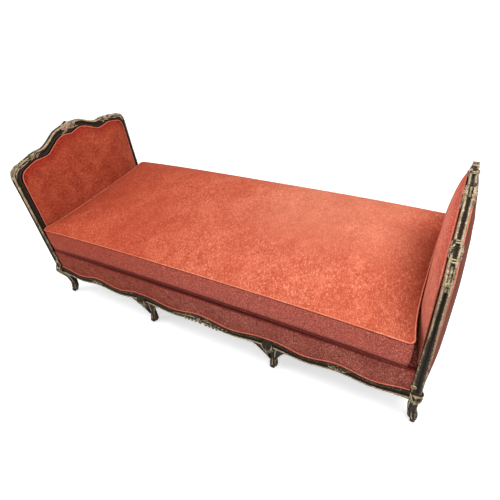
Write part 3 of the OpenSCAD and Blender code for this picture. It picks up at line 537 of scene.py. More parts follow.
# Piping painted paler than the mattress's cloth, as a highlight along its top seam.
HIGHLIT_CORD = velvet("piping velvet painted lighter", (238, 152, 116), (250, 188, 156), (206, 104, 76), (196, 92, 70),
                   head_shade=0.8)
RED_CORD = velvet("red piping velvet", (226, 134, 110), (240, 164, 140), (196, 100, 80), (176, 76, 60),
                  streak=0.4, head_shade=0.5)
LINEN = cloth("linen backing", (206, 190, 158), (168, 150, 118))
WADDING = cloth("cotton wadding", (226, 218, 198), (200, 190, 168), 0.0033)
JUTE = cloth("jute webbing", (182, 150, 104), (126, 98, 62), 0.0007)
BLACK_CLOTH = cloth("black dust cloth", (46, 46, 50), (24, 24, 27), 0.0008)
BEECH = plain_wood("beech", (190, 150, 100), (156, 114, 70))
STEEL = steel("screw steel")


# Camera, lamps and floor

# The camera fitted to the photograph: its width, focal length and centre in pixels, then directions and place
PHOTO_WIDTH = 500
PHOTO_FOCAL = 401.28
PHOTO_CENTRE = (247.89, 254.94)
CAMERA_FORWARD = np.array([-0.4261, 0.6501, -0.6291])
CAMERA_RIGHT = np.array([0.875, 0.4729, -0.104])
CAMERA_PLACE = (0.9017, -1.284, 1.0646 + SEAT)
LAMPS = (("key lamp", (1.3, -0.6, 2.7), (0.1, 0, 0.4), 1.8, 54),
         ("low lamp", (-2.4, -1.3, 1.9), (0.9, 0, 0.6), 1.2, 20),
         ("front fill lamp", (1.2, -4.2, 1.8), (0, 0, 0.3), 2.6, 18),
         ("rear lamp", (-1.5, 3.0, 2.6), (0, 0, 0.4), 2.0, 30))
SHADE_LIGHT = 0.55
FLOOR_HALF = 30.0
FLOOR_DROP = 0.0005


def linked(name, data):
    """A new object in the scene."""
    made = bpy.data.objects.new(name, data)
    bpy.context.scene.collection.objects.link(made)
    return made


def make_camera():
    """Camera that looks along its forward direction, with its right direction made square to it."""
    forward = unit(CAMERA_FORWARD)
    right = unit(CAMERA_RIGHT - forward * (CAMERA_RIGHT @ forward))
    data = bpy.data.cameras.new("camera")
    data.sensor_width = 36
    data.lens = PHOTO_FOCAL / PHOTO_WIDTH * data.sensor_width
    data.shift_x = 0.5 - PHOTO_CENTRE[0] / PHOTO_WIDTH
    data.shift_y = PHOTO_CENTRE[1] / PHOTO_WIDTH - 0.5
    data.clip_start, data.clip_end = 0.05, 50
    made = linked("camera", data)
    turn = Matrix(np.column_stack([right, np.cross(right, forward), -forward]).tolist()).to_4x4()
    made.matrix_world = Matrix.Translation(CAMERA_PLACE) @ turn
    bpy.context.scene.camera = made


def make_lamp(name, place, aim, size, power):
    """Round soft lamp at a place, turned towards its aim."""
    data = bpy.data.lights.new(name, "AREA")
    data.shape, data.size, data.energy = "DISK", size, power
    made = linked(name, data)
    made.location = place
    made.rotation_mode = "QUATERNION"
    made.rotation_quaternion = (Vector(aim) - Vector(place)).to_track_quat("-Z", "Y")


def make_surround():
    """White to the camera and to gloss rays, and a plain level of light to the rest."""
    world = bpy.data.worlds.new("surround")
    world.use_nodes = True
    bpy.context.scene.world = world
    sky = Tree(world.node_tree)
    path = sky.node("ShaderNodeLightPath", {}, {})
    camera, gloss, clear = sky.outputs(path, "Is Camera Ray", "Is Glossy Ray", "Is Transmission Ray")
    seen = camera.math("MAXIMUM", gloss.math("MAXIMUM", clear))
    background = world.node_tree.nodes["Background"]
    sky.put(background.inputs["Strength"],
            sky.node("ShaderNodeMapRange", {}, {"Value": seen, "To Min": SHADE_LIGHT}))
    sky.put(background.inputs["Color"], (1, 1, 1, 1))


def make_floor():
    """Pale floor that glows only to the camera, so that it shows near white and keeps the shadow."""
    finish = Finish("pale floor")
    seen = finish.node("ShaderNodeLightPath", {}, {}, output="Is Camera Ray")
    glow = finish.mix(seen, (0, 0, 0, 1), (0.55, 0.55, 0.55, 1))
    finish.surface(Base_Color=(0.86, 0.86, 0.86, 1), Roughness=0.9, Emission_Color=glow,
                   Emission_Strength=1.0)
    mesh = bpy.data.meshes.new("floor")
    corners = [(-1, -1, 0), (1, -1, 0), (1, 1, 0), (-1, 1, 0)]
    mesh.from_pydata((np.array(corners) * FLOOR_HALF).tolist(), [], [(0, 1, 2, 3)])
    mesh.materials.append(finish.material)
    floor = linked("floor", mesh)
    floor.location = (0, 0, -FLOOR_DROP)


bpy.context.scene.view_settings.view_transform = "Standard"
make_camera()
make_surround()
make_floor()
for lamp in LAMPS:
    make_lamp(*lamp)


# Carved frame

# Share of the post's thickness that is gone from the shoulder up, and how far the crest stands out for it
THINNED = 0.29
CREST_SHIFT = 0.0015
CREST_MID = POST_MID + CREST_SHIFT
CREST_HALF = POST_T / 2 * (1 - THINNED)

# Carving on a crest's faces, placed by shares of the crest's length and of its width. What isn't in the
# middle is repeated at the mirror share. Flowers have a radius, petals, a height and a share of pink tone
# painted as a reflection of the velvet, and each spray has leaves of (turn in degrees, length, width,
# height, distance from the centre).
CREST_FLOWERS = (
    (0.5, 0.82, 0.020, 5, 0.010, 0.7), (0.5, 0.82, 0.011, 4, 0.014, 0.7),
    (0.474, 0.42, 0.011, 5, 0.011, 0.5), (0.458, 0.74, 0.010, 5, 0.010, 0.4),
    (0.205, 0.66, 0.0125, 5, 0.011, 0.4), (0.224, 0.42, 0.008, 5, 0.009, 0.4),
    (0.188, 0.46, 0.008, 5, 0.009, 0.4))
CREST_SPRAYS = (
    (0.5, 0.52, [(12, 0.050, 0.017, 0.009, 0.016), (168, 0.050, 0.017, 0.009, 0.016),
                 (-20, 0.036, 0.015, 0.008, 0.012), (200, 0.036, 0.015, 0.008, 0.012)]),
    (0.205, 0.54, [(-4, 0.036, 0.014, 0.009, 0.010), (184, 0.036, 0.014, 0.009, 0.010),
                   (-32, 0.026, 0.012, 0.008, 0.008), (-148, 0.026, 0.012, 0.008, 0.008)]))
# Ribbons run between two shares of the length, at a share of the width
CREST_RIBBONS = ((0.045, 0.135, 0.60, 0.0050), (0.10, 0.165, 0.42, 0.0036))
# On the outer edge: middle, reach and spacing of each bunch of leaves, and the places of the pairs of ties
EDGE_LEAVES = ((0.5, 0.040, 0.0085), (0.10, 0.034, 0.0085), (0.055, 0.016, 0.0052))
EDGE_TIES = (0.245, 0.16)


def frame_section(count=9):
    """Section of an end frame as rows (share of width, mm added across, mm along the bed, relief).

    Across is measured from the opening to the outer edge. Beads are arcs of circles on both outer
    corners, the hollows between them are half sine waves, and a small fillet lies beside the panel."""
    t, r = POST_T * 500, 6.8
    u = np.linspace(0, 1, count)
    hollow = np.sin(np.pi * u)
    fillet = np.array([(0, -10, 8, 0), (0, -0.3, 8, 0), (0, 0, 2.4, 0.1), (0, 0.8, 1.0, 0.22),
                       (0, 1.8, 0.6, 0.26), (0, 2.7, 1.2, 0.2), (0, 3.3, 3.0, 0)]) - [0, 0, t, 0]
    face = rows_of(u, 4 - (2 * r + 5) * u, 3.8 - t + 3.4 * hollow, 0.05)
    degrees = np.linspace(200, 385, 15)
    a = np.radians(degrees)
    gilt = bell(degrees, 294, 36) + 0.78 * bell(degrees, 350, 40)
    bead = rows_of(1, r * np.cos(a) - r, r * np.sin(a) + r - t, gilt)
    edge = t - 2 * r - 0.6
    outer = rows_of(1, -1.6 - 4 * hollow, edge * (2 * u - 1), 0.12)
    half = np.vstack([fillet, face, bead])
    return np.vstack([half, outer, half[::-1] * [1, 1, -1, 1]])


def thinning(z):
    """Share of the post's thickness left at a height: whole at the rail and thinned from the shoulder up."""
    return 1 - THINNED * smoothstep(0.30, 0.60, z)


def frame_band(inner, outer):
    """Carries the section along an end frame: each row lies at its share of the local width plus its
    millimetres."""
    share, over, along, relief = frame_section().T[:, None]
    width = np.linalg.norm(outer - inner, axis=1)[:, None]
    across = unit(outer - inner)
    v = share * width + over / 1000
    left = thinning(outer[:, 1])[:, None]
    x = POST_MID + CREST_SHIFT * (1 - left) / THINNED + along / 1000 * left
    rings = xyz(x, inner[:, :1] + across[:, :1] * v, inner[:, 1:] + across[:, 1:] * v)
    worn = 0.50 + 0.50 * smoothstep(0.46, 0.68, outer[:, 1:])
    return shell_over(rings, relief * worn)


def end_curve(shares, half, rise):
    """Left to right over the top: the share table as a smooth curve, and its mirror."""
    curve = spline(shares, 8) * [half, rise] + [0, SEAT]
    return np.vstack([curve[::-1] * [-1, 1], curve[1:]])


def crest_lines(rise):
    """The opening's curve and the crest's curve with the same number of points, matched by their shares."""
    inner = end_curve(OPENING_SHARES, OPENING_HALF, rise)
    outer = end_curve(CREST_SHARES, HALF_DEPTH, rise)
    return [resample(line, 190, by=(inner + outer) / 2) for line in (inner, outer)]


def post_lines(rise, low):
    """A post's inner and outer side, from a low height to the crest's end."""
    z = np.linspace(low, SEAT + POST_SHARE * rise, 40)
    return [rows_of(-y, z) for y in (OPENING_HALF, HALF_DEPTH)]


def leaf(length, width, height, ridges=3, rows=18):
    """Leaf lying along +x on the plane z = 0: a pointed outline, a raised middle rib and side folds
    between scallops."""
    u, v = np.linspace(0, 1, rows)[:, None], np.linspace(-1, 1, 15)[None, :]
    scallops = 1 + 0.16 * np.cos(u * np.pi * 2 * ridges)
    outline = np.sin(np.pi * np.clip(u, 0.02, 0.98) ** 0.8) ** 0.75 * scallops
    x = length * (u - 0.10 * np.abs(v) ** 1.5 * np.sin(np.pi * u))
    y = width / 2 * outline * v
    body = (1 - np.abs(v) ** 2.2) * np.sin(np.pi * np.clip(u, 0.01, 0.99)) ** 0.5
    folds = 0.22 * np.cos(np.pi * (ridges * 2 * u - 2.4 * np.abs(v))) * np.abs(v) * (1 - np.abs(v) ** 4)
    rib = 0.28 * bell(v, 0, 0.13)
    top = xyz(x, y, height * body * (0.72 + folds + rib))
    bottom = top * [1, 1, 0] - [0, 0, height * 0.35]
    relief = np.clip(0.20 + body * (2.2 * rib + 2.6 * folds + 0.26), 0, 0.95)
    return shell_over(np.concatenate([top, bottom[:, ::-1]], 1), np.concatenate([relief, 0 * relief], 1))


def flower(radius, height, petals=5):
    """Open flower facing +z: petals are the cosine of the angle, a cupped dish between rim and a round
    heart."""
    u, a = np.linspace(0, 1, 14)[:, None], np.linspace(0, 2 * np.pi, 60, endpoint=False)[None, :]
    lobe = 0.5 + 0.5 * np.cos(petals * a)
    r = radius * u * (0.8 + 0.2 * lobe ** 0.5)
    heart = 0.28
    dish = np.where(u < heart, 0.75 + 0.25 * np.cos(u / heart * np.pi / 2), 0.0)
    petal = np.sin(np.pi * np.clip((u - 0.24) / 0.76, 0, 1)) ** 0.6 * (0.45 + 0.35 * lobe)
    top = xyz(r * np.cos(a), r * np.sin(a), height * np.maximum(dish, petal))
    under = top[:0:-1] * [1, 1, 0] - [0, 0, height * 0.5]
    relief = np.clip(0.18 + 0.8 * np.maximum(dish * 0.8, petal * lobe * 1.3), 0, 0.95)
    return shell_over(np.concatenate([top[1:], under]), np.concatenate([relief[1:], 0 * relief[1:]]))


def spray(centre, normal, along, leaves):
    """Leaves round a point: each is (turn in degrees, length, width, height, distance from the centre)."""
    made = []
    for turn, length, width, height, out in leaves:
        spin = at_angle(turn)
        flat = moved(leaf(length, width, height), spin, spin @ [out, 0, 0])
        made.append(moved(flat, facing(normal, along), centre))
    return made


def on_crest(lines, share, across):
    """Places on a crest at shares of its length and a share of its width, with the directions along and
    outwards."""
    inner, outer = lines
    k = np.arange(len(inner))

    def pick(line, i):
        return xyz(0.0, np.interp(i, k, line[:, 0]), np.interp(i, k, line[:, 1]))

    at = share * k[-1]
    p, q = (pick(inner, i) * (1 - across) + pick(outer, i) * across for i in (at, at + 1))
    return p, unit(q - p), unit(pick(outer, at) - pick(inner, at))


def both(*shares):
    """Shares of a crest's length, and their mirror shares unless they lie in the middle."""
    return (shares,) if shares[0] == 0.5 else (shares, tuple(1 - share for share in shares))


def face_carving(lines, face):
    """Flowers, sprays and ribbons on one face of a crest: face is -1 towards the mattress and 1 outwards."""
    normal = np.array([face, 0, 0])
    step = [CREST_MID + face * (CREST_HALF - 0.003), 0, 0]
    made = []
    for share, across, radius, petals, height, pink_reflection in CREST_FLOWERS:
        for at, in both(share):
            p, along, out = on_crest(lines, at, across)
            points, faces, relief = flower(radius, height, petals)
            # The flowers' relief is raised past 1 by their share of painted pink reflection.
            made.append(moved((points, faces, relief + pink_reflection * (relief > 0)), facing(normal, along), p + step))
    for share, across, leaves in CREST_SPRAYS:
        for at, in both(share):
            p, along, out = on_crest(lines, at, across)
            made += spray(p + step, normal, along, leaves)
    for start, stop, across, wide in CREST_RIBBONS:
        for low, high in both(start, stop):
            path = on_crest(lines, np.linspace(low, high, 26), across)[0] + step
            out = on_crest(lines, (low + high) / 2, across)[2]
            made.append(ribbon(path, out, wide, 0.0048, relief=0.62, lobes=5))
    return made


def edge_leaf(lines, start, stop, x, wide):
    """Lobed leaf on the crest's outer edge between two shares of its length, raised as half a sine wave."""
    p, along, out = on_crest(lines, np.linspace(start, stop, 26), 1.0)
    rise = 0.0012 * (np.sin(np.linspace(0, np.pi, 26)) - 1)
    path = p + out * rise[:, None] + [CREST_MID + x, 0, 0]
    return ribbon(path, (1, 0, 0), wide, 0.0042, relief=0.6, lobes=4)


def edge_tie(lines, share):
    """Tie over the outer edge: straight across it, and bent down at both sides as the sixth power."""
    p, along, out = on_crest(lines, share, 1.0)
    t = np.linspace(-1, 1, 24)[:, None]
    across = np.array([1, 0, 0]) * (CREST_MID + t * (CREST_HALF + 0.001))
    return ribbon(p + across + out * (0.0010 - 0.006 * t ** 6), along, 0.0030, 0.0022)


def crest_carving(lines):
    """A rose in the middle, flower clusters on the shoulders, leaves over the upper corners and ties on
    the edge."""
    made = face_carving(lines, -1) + face_carving(lines, 1)
    for share, reach, apart in EDGE_LEAVES:
        for at, in both(share):
            for x, wide in ((-apart, 0.0042), (0.0, 0.0046), (apart, 0.0042)):
                made += [edge_leaf(lines, at - reach, at, x, wide), edge_leaf(lines, at, at + reach, x, wide)]
    for share in EDGE_TIES:
        for at, in both(share):
            made += [edge_tie(lines, at - 0.006), edge_tie(lines, at + 0.006)]
    return made


for end, sign, rise in ENDS:
    lines = crest_lines(rise)
    shells = [frame_band(*lines)] + crest_carving(lines)
    piece(f"{end}_crest", mirrored(shells, x=sign), WOOD, f"{end}_crest_rail")


# Rails

# Leaves beside the flower of a rail between a middle leg and a post: x, mm above the lower line, turn in
# degrees, then length, width and height in mm
POST_RAIL_LEAVES = ((0.652, 18, 4, 34, 13, 7), (0.638, 18, 176, 34, 13, 7), (0.650, 10, -24, 24, 11, 6),
                    (0.640, 10, 204, 24, 11, 6), (0.650, 26, 26, 20, 9, 6), (0.640, 26, 154, 20, 9, 6))


def chamfered(low, high, cut=0.003):
    """Block between two corners with every edge cut at 45 degrees: four rings of eight points."""
    low, high = np.asarray(low, float), np.asarray(high, float)
    cut = min(cut, 0.3 * (high - low).min())

    def ring(inset, z):
        x0, y0 = low[:2] + inset
        x1, y1 = high[:2] - inset
        return [(x0 + cut, y0, z), (x1 - cut, y0, z), (x1, y0 + cut, z), (x1, y1 - cut, z),
                (x1 - cut, y1, z), (x0 + cut, y1, z), (x0, y1 - cut, z), (x0, y0 + cut, z)]

    return shell_over(np.array([ring(cut * 0.7, low[2]), ring(0, low[2] + cut),
                                ring(0, high[2] - cut), ring(cut * 0.7, high[2])]))


def section_wave(x, start, stop):
    """Two full cosines between start and stop."""
    return np.cos(4 * np.pi * (x - start) / (stop - start))


def side_wave(x):
    """The long rails' wave: two full cosines in each section, level at the middle legs."""
    a = np.abs(x)
    return np.where(a < MID_NEAR, section_wave(x, -MID_NEAR, MID_NEAR),
                    np.where(a < MID_FAR, 1.0, section_wave(a, MID_FAR, POST_IN)))


def end_wave(y):
    """The end rails' wave, whose crests lie at the stumps of the posts."""
    return section_wave(np.clip(y, -STUMP_IN, STUMP_IN), -STUMP_IN, STUMP_IN)


def cord_z(wave):
    """Height of a carved rail's upper line, where the piping lies."""
    return CORD_LINE + CORD_WAVE * wave


def foot_z(wave):
    """Height of a carved rail's lower line."""
    return FOOT_LINE + FOOT_WAVE * wave


def rail_section(depth):
    """Section of a carved rail as rows (mm outwards, share of the height, mm up, relief).

    A thick bead rounds the lower edge and a thin one the upper edge, both arcs of circles, with a half sine
    hollow between."""
    degrees = np.linspace(-85, 135, 16)
    a = np.radians(degrees)
    thick = rows_of(depth - 5.2 + 5.2 * np.cos(a), 0, 5 + 5 * np.sin(a), 0.86 * bell(degrees, 14, 52))
    k = np.linspace(0, 1, 9)
    hollow = rows_of(depth - 7 - 3 * np.sin(np.pi * k), k, 10.4 - 18.8 * k, 0.14)
    b = np.radians(np.linspace(-120, 90, 9))
    thin = rows_of(depth - 4 + 3.6 * np.cos(b), 1, 3.6 * np.sin(b) - 3.8, 0.28)
    return np.vstack([[(0, 0, 0, 0), (depth - 9, 0, 0.4, 0.1)], thick, hollow, thin, [(0, 1, -0.4, 0)]])


def rail_band(along, wave, back, depth, across_x=False):
    """Carries the rail's section along the bed or across it, between the wavy lower and upper lines."""
    out, share, up, relief = rail_section(depth).T[:, None]
    low, high = foot_z(wave)[:, None], cord_z(wave)[:, None]
    z = low + share * (high - low) + up / 1000
    out, path = back + out / 1000, along[:, None]
    return shell_over(xyz(out, path, z) if across_x else xyz(path, -out, z), relief)


def on_side(shell, x, up, sunk):
    """A carving set on the front rail's face, mm above its lower line and sunk into it."""
    z = float(foot_z(side_wave(x))) + up / 1000
    return moved(shell, facing((0, -1, 0), (1, 0, 0)), (x, sunk - HALF_DEPTH, z))


def side_leaves(rows):
    """Leaves on the front rail: each row is (x, mm above the lower line, turn, length, width, height)."""
    return [on_side(moved(leaf(length / 1000, width / 1000, height / 1000), at_angle(turn)), x, up, 0.005)
            for x, up, turn, length, width, height in rows]


def side_flower(x, up, radius, height, petals=5):
    """Flower on the front rail, with its place as for the leaves and its size in mm."""
    return on_side(flower(radius / 1000, height / 1000, petals), x, up, 0.004)


def centre_foliage():
    """Leaves that overlap each other out from the middle flower, large near it and small at the tips."""
    rows = []
    for side, turn in ((-1, 180), (1, 0)):
        for k in range(7):
            share = k / 6
            x = side * (0.014 + 0.020 * k)
            size = 1 - 0.45 * share
            rows.append((x, 22 - 2 * share, turn + side * 14, 34 * size, 14 * size, 8))
            rows.append((x, 10 + 2 * share, turn - side * 16, 32 * size, 13 * size, 8))
            if k < 4:
                rows.append((x + side * 0.006, 3, -90 + side * 38, 22 * size, 13 * size, 7))
    return side_leaves(rows) + [side_flower(0.0, 18, 15, 11, 6), side_flower(0.0, -2, 10, 8, 5)]


def side_rail(start, stop):
    """Carved face and hidden beam of the front rail between two legs."""
    x = np.linspace(start, stop, 131)
    beam = chamfered((start, -UPPER_FACE, HIDDEN_BOTTOM), (stop, -RAIL_BACK, RAIL_TOP), 0.002)
    return [rail_band(x, side_wave(x), SHOW_BACK, 32), beam]


def end_rail():
    """The foot end's rail: carved face, hidden beam, and a flower with six leaves in the middle."""
    y = np.linspace(-STUMP_IN, STUMP_IN, 131)
    beam = chamfered((POST_IN, -STUMP_IN, HIDDEN_BOTTOM), (HALF_LENGTH - REBATE, STUMP_IN, RAIL_TOP), 0.002)
    turned = facing((1, 0, 0), (0, 1, 0))
    x, z = HALF_LENGTH - 0.004, FOOT_LINE + FOOT_WAVE + 0.018
    made = [rail_band(y, end_wave(y), END_SHOW_BACK, 20, across_x=True), beam,
            moved(flower(0.014, 0.009), turned, (x, 0, z))]
    for turn in (0, 180, 28, 152, -28, -152):
        aside = math.copysign(0.008, 90 - abs(turn))
        made.append(moved(moved(leaf(0.036, 0.014, 0.007), at_angle(turn)), turned, (x, aside, z)))
    return made


centre_rail = side_rail(-MID_NEAR, MID_NEAR) + centre_foliage()
post_rail = side_rail(MID_FAR, POST_IN) + [side_flower(0.645, 18, 11, 9)] + side_leaves(POST_RAIL_LEAVES)
for row, y in SIDES:
    piece(f"{row}_middle_rail", mirrored(centre_rail, y=y), WOOD, f"{row}_rail_centre")
    piece(f"{row}_rail_by_foot", mirrored(post_rail, y=y), WOOD, f"{row}_rail_right")
    piece(f"{row}_rail_by_head", mirrored(post_rail, -1, y), WOOD, f"{row}_rail_left")
foot_rail = end_rail()
for end, sign, rise in ENDS:
    piece(f"{end}_rail", mirrored(foot_rail, x=sign), WOOD, f"{end}_end_rail")


# Legs

# Rows of (share of the height, distance towards the front, radius), the last two as shares of the leg's half
# width
LEG_SHARES = np.array([
    [0, -1, 0.50], [0.045, -0.94, 0.64], [0.12, -0.92, 0.68], [0.2, -1, 0.60], [0.29, -1.06, 0.54],
    [0.4, -1, 0.53], [0.52, -0.78, 0.60], [0.64, -0.4, 0.75], [0.76, 0.04, 0.92], [0.87, 0.3, 1],
    [1, 0.2, 0.98]])

# Lower edge of the plates beside a middle leg, and the bead over them, as distance from the leg's middle and
# height
EAR_LOWER = np.array([[0.094, 0.1655], [0.075, 0.157], [0.060, 0.142], [0.048, 0.122], [0.036, 0.100],
                      [0.024, 0.076], [0.014, 0.05]])
EAR_ARCH = np.array([[0.100, 0.169], [0.080, 0.172], [0.060, 0.175], [0.044, 0.173], [0.034, 0.162],
                     [0.028, 0.142], [0.022, 0.115], [0.0165, 0.09]])
# The plates and their beads: place at this height, and how far they lean back for each metre below it
EAR_TOP = 0.17
EAR_FACE = -0.3735
EAR_LEAN = 0.20
ARCH_FACE = -0.3745
ARCH_LEAN = 0.17


class Leg:
    """A cabriole leg: the place of its top, how far its toe leans out along the bed, its height and half
    width."""

    def __init__(self, x, lean, height, half):
        self.x, self.lean, self.height, self.half = x, lean, height, half

    def core(self, share):
        """Centre and radius at a share of the height, from the smooth table; a leaning corner leg is
        stouter below."""
        table = spline(LEG_SHARES, 10)
        out, wide = (np.interp(share, table[:, 0], table[:, k]) for k in (1, 2))
        x = self.x + self.lean * (1 - share)
        if self.lean:
            wide = wide * (1 + 0.28 * smoothstep(0.66, 0.40, share) + 0.26 * bell(share, 0.40, 0.13)
                           - 0.46 * smoothstep(0.17, 0.0, share))
            x = x - (0.0066 * bell(share, 0.36, 0.20) - 0.005 * smoothstep(0.22, 0.0, share)
                     - 0.002 * smoothstep(0.6, 0.85, share))
        return xyz(x, POST_Y - out * self.half, share * self.height), wide * self.half

    def skin(self, share, turn, reach=1.0, proud=0.0):
        """Places on the leg's side and their outward directions: at a share of the height and a turn from
        the front, at the radius times reach, plus what stands proud."""
        centre, radius = self.core(share)
        away = xyz(np.sin(turn), -np.cos(turn), 0.0)
        return centre + away * (radius * reach + proud)[:, None], away


def leg_body(leg, band):
    """Rings up the leg: a squarish round with an arris in front and a bead on each side of it.

    Over the top tenth the rings shrink as a quarter of an ellipse, so the knee closes against the rail. The
    band is 1 where the knee has a collar and a leaf, and 0 without them."""
    share = np.concatenate([np.linspace(0, 0.1, 9), np.linspace(0.115, 0.93, 54), np.linspace(0.94, 1, 9)])
    centre, radius = leg.core(share)
    share, radius = share[:, None], radius[:, None]
    a = np.linspace(-np.pi, np.pi, 72, endpoint=False)[None, :]
    square = (np.abs(np.cos(a)) ** 2.5 + np.abs(np.sin(a)) ** 2.5) ** (-1 / 2.5)
    low = smoothstep(0.98, 0.90, share)
    arris = bell(a, 0, 0.17) * low
    beads = bell(np.abs(a), 0.95, 0.12) * low
    hollow = bell(np.abs(a), 0.52, 0.22) * low
    collar = band * bell(share, 0.93, 0.013) * smoothstep(-0.9, -0.2, a)
    r = radius * (0.94 * square + 0.10 * arris + 0.07 * beads - 0.05 * hollow + 0.05 * collar)
    r = r * (smoothstep(0, 0.03, share) * 0.12 + 0.88)
    r = r * np.sqrt(1 - 0.86 * np.clip((share - 0.90) / 0.10, 0, 1) ** 4)
    flat = 1 - 0.45 * smoothstep(0.84, 1.0, share)
    flutes = np.maximum(0, np.cos(9 * a)) * smoothstep(0.34, 0.20, share) * smoothstep(0.02, 0.08, share)
    leafy = smoothstep(0.60, 0.66, share) * low * smoothstep(-0.1, 0.1, a + 0.6 - 2.2 * (0.9 - share))
    relief = np.clip(0.35 * arris + 0.6 * beads + 0.7 * collar + 0.55 * flutes + band * 0.34 * leafy, 0, 1)
    x, y, z = centre.T[..., None]
    return shell_over(xyz(x + r * np.sin(a), y - r * flat * np.cos(a), z), relief)


def scroll(centre, way, radius, shrink, start, stop, steps):
    """Upright flat spiral that opens in a level direction: the radius falls evenly with the angle, whose two
    ends are given in half turns."""
    a = np.linspace(start * np.pi, stop * np.pi, steps)[:, None]
    r = radius - shrink * np.linspace(0, 1, steps)[:, None]
    return np.array(centre) + r * np.cos(a) * way + r * np.sin(a) * [0, 0, 1]


def toe_scroll(leg):
    """Scroll on the toe: a bar across the leg, wound one and a half turns inwards."""
    centre, radius = leg.core(0.06)
    middle = (centre[0], centre[1] - radius * 0.62, 0.0142)
    path = scroll(middle, (0, -1, 0), 0.0125, 0.0088, -0.5, 2.3, 64)
    return ribbon(path, (1, 0, 0), radius * 0.70, 0.0026, relief=0.3)


def foot_curl():
    """Small scroll at a post's foot, on the side of the seat, of one and a quarter turns."""
    middle = (POST_IN + 0.004, -HALF_DEPTH - 0.0012, KNEE_TOP + 0.026)
    path = scroll(middle, (1, 0, 0), 0.0105, 0.0078, -0.3, 2.2, 60)
    return ribbon(path, (0, 1, 0), 0.0042, 0.0024, relief=0.8)


def knee_scrolls(leg):
    """C-scrolls on the knee's sides: each path runs round an ellipse in turn and height, laid on the
    leg's surface."""
    t = np.linspace(-2.2, 2.0, 44)
    share = 0.80 + 0.085 * np.sin(t) * (1 - 0.12 * t)
    skins = [leg.skin(share, side * (0.93 - 0.24 * np.cos(t))) for side in (-1, 1)]
    return [ribbon(path, away, 0.0022, 0.0019, relief=0.85) for path, away in skins]


def knee_leaves(leg):
    """A leaf that hangs down the knee, with two smaller ones beside it, each bent round the knee."""
    made = []
    for turn, length, width in ((0, 0.082, 0.026), (-0.55, 0.060, 0.015), (0.55, 0.060, 0.015)):
        points, faces, relief = leaf(length, width, 0.0050, ridges=4, rows=26)
        share = np.clip(0.90 - points[:, 0] / leg.height, 0, 1)
        a = turn * (0.55 + 0.45 * (share - 0.4)) + points[:, 1] / leg.core(share)[1]
        made.append(outward((leg.skin(share, a, 0.97, points[:, 2])[0], faces, relief)))
    return made


def arch_bead(leg):
    """Bead that leaves the rail's lower edge, bends down and runs along the leg's inner side to the ankle."""
    x = np.linspace(POST_IN - 0.052, POST_IN - 0.014, 12)
    run = xyz(x, -HALF_DEPTH - 0.0005, foot_z(side_wave(x)) + 0.004)
    share = np.linspace((FOOT_LINE + FOOT_WAVE - 0.010) / leg.height, 0.36, 16)
    down = leg.skin(share, -np.linspace(1.05, 0.72, 16), 1.02)[0]
    path = resample(spline(np.vstack([run, down]), 4), 70)
    return ribbon(path, np.cross(directions(path), [0, 1, 0.3]), 0.0029, 0.0029, relief=0.85)


def knee_line(leg):
    """Raised line that falls slantwise over the knee: turn and height both run evenly, laid on the leg's
    surface."""
    t = np.linspace(0, 1, 30)
    path, away = leg.skin(0.965 - 0.36 * t, 1.75 * t - 0.95, 1.02)
    return ribbon(path, np.cross(directions(path), away), 0.0032, 0.0028, relief=1.0)


def ear(side):
    """Plate that spreads from a middle leg's side up to the rail, over a smooth lower curve with a thin bead.

    Each station is a ring of points: shares of the height between the curve and the rail, moved by mm."""
    line = resample(spline(EAR_LOWER, 6), 40)
    x = MID_LEG_X + side * line[:, :1]
    high = foot_z(side_wave(x)) + 0.002
    low = np.minimum(line[:, 1:], high - 0.0025)
    share, up, back, relief = np.array([
        (0, 0.4, 12, 0), (0, -0.6, 4, 0.1), (0, -1.6, 1.2, 0.9), (0, -1.4, -1.4, 0.95), (0, 0.6, -2.0, 0.95),
        (0, 2.0, -0.6, 0.7), (0, 2.6, 1.4, 0), (0.25, 1.5, 2.4, 0), (0.7, 0, 1.2, 0), (1, 0, 0, 0),
        (1, 0, 12, 0)]).T[:, None]
    z = low + share * (high - low) + up / 1000 * np.minimum(1, (high - low) / 0.006)
    return shell_over(xyz(x, EAR_FACE + (EAR_TOP - z) * EAR_LEAN + back / 1000, z), relief)


def ear_arch(side):
    """Bead that follows the rail's lower edge, turns over and runs down beside the leg."""
    away, z = resample(spline(EAR_ARCH, 6), 60).T
    y = ARCH_FACE + (EAR_TOP - np.minimum(z, EAR_TOP)) * ARCH_LEAN - 0.006 * smoothstep(0.05, 0.09, away)
    path = xyz(MID_LEG_X + side * away, y, z)
    return ribbon(path, np.cross(directions(path), [0, 1, 0]), 0.0028, 0.0026)


def bracket(across, wave, back, side_on=False):
    """Small bracket below a rail: a quarter of an ellipse below, the rail's line above."""
    u = np.linspace(0, 1, len(across))
    upper = foot_z(wave) + 0.001
    lower = np.minimum(foot_z(1.0) - 0.028 + 0.020 * np.sqrt(1 - (1 - u) ** 2), upper - 0.002)
    z = np.stack([upper, lower, lower, upper], 1)
    depth, along = back + np.array([0, 0, 0.012, 0.012]), across[:, None]
    return shell_over(xyz(depth, along, z) if side_on else xyz(along, -depth, z))


def carved_leg(leg, band):
    """A leg's body, toe, leaves and knee scrolls."""
    return [leg_body(leg, band), toe_scroll(leg)] + knee_leaves(leg) + knee_scrolls(leg)


def middle_leg():
    """The front leg right of the middle: leg, the blocks it hangs from, and plates with beads on both
    sides."""
    leg = Leg(MID_LEG_X, 0, CORD_LINE + CORD_WAVE + 0.0015, 0.027)
    beam = chamfered((MID_NEAR, -UPPER_FACE, HIDDEN_BOTTOM), (MID_FAR, -RAIL_BACK, RAIL_TOP), 0.002)
    face = chamfered((MID_NEAR, 0.007 - HALF_DEPTH, foot_z(1.0)), (MID_FAR, -SHOW_BACK, cord_z(1.0)))
    return carved_leg(leg, 0.0) + [beam, face, ear(-1), ear(1), ear_arch(-1), ear_arch(1)]


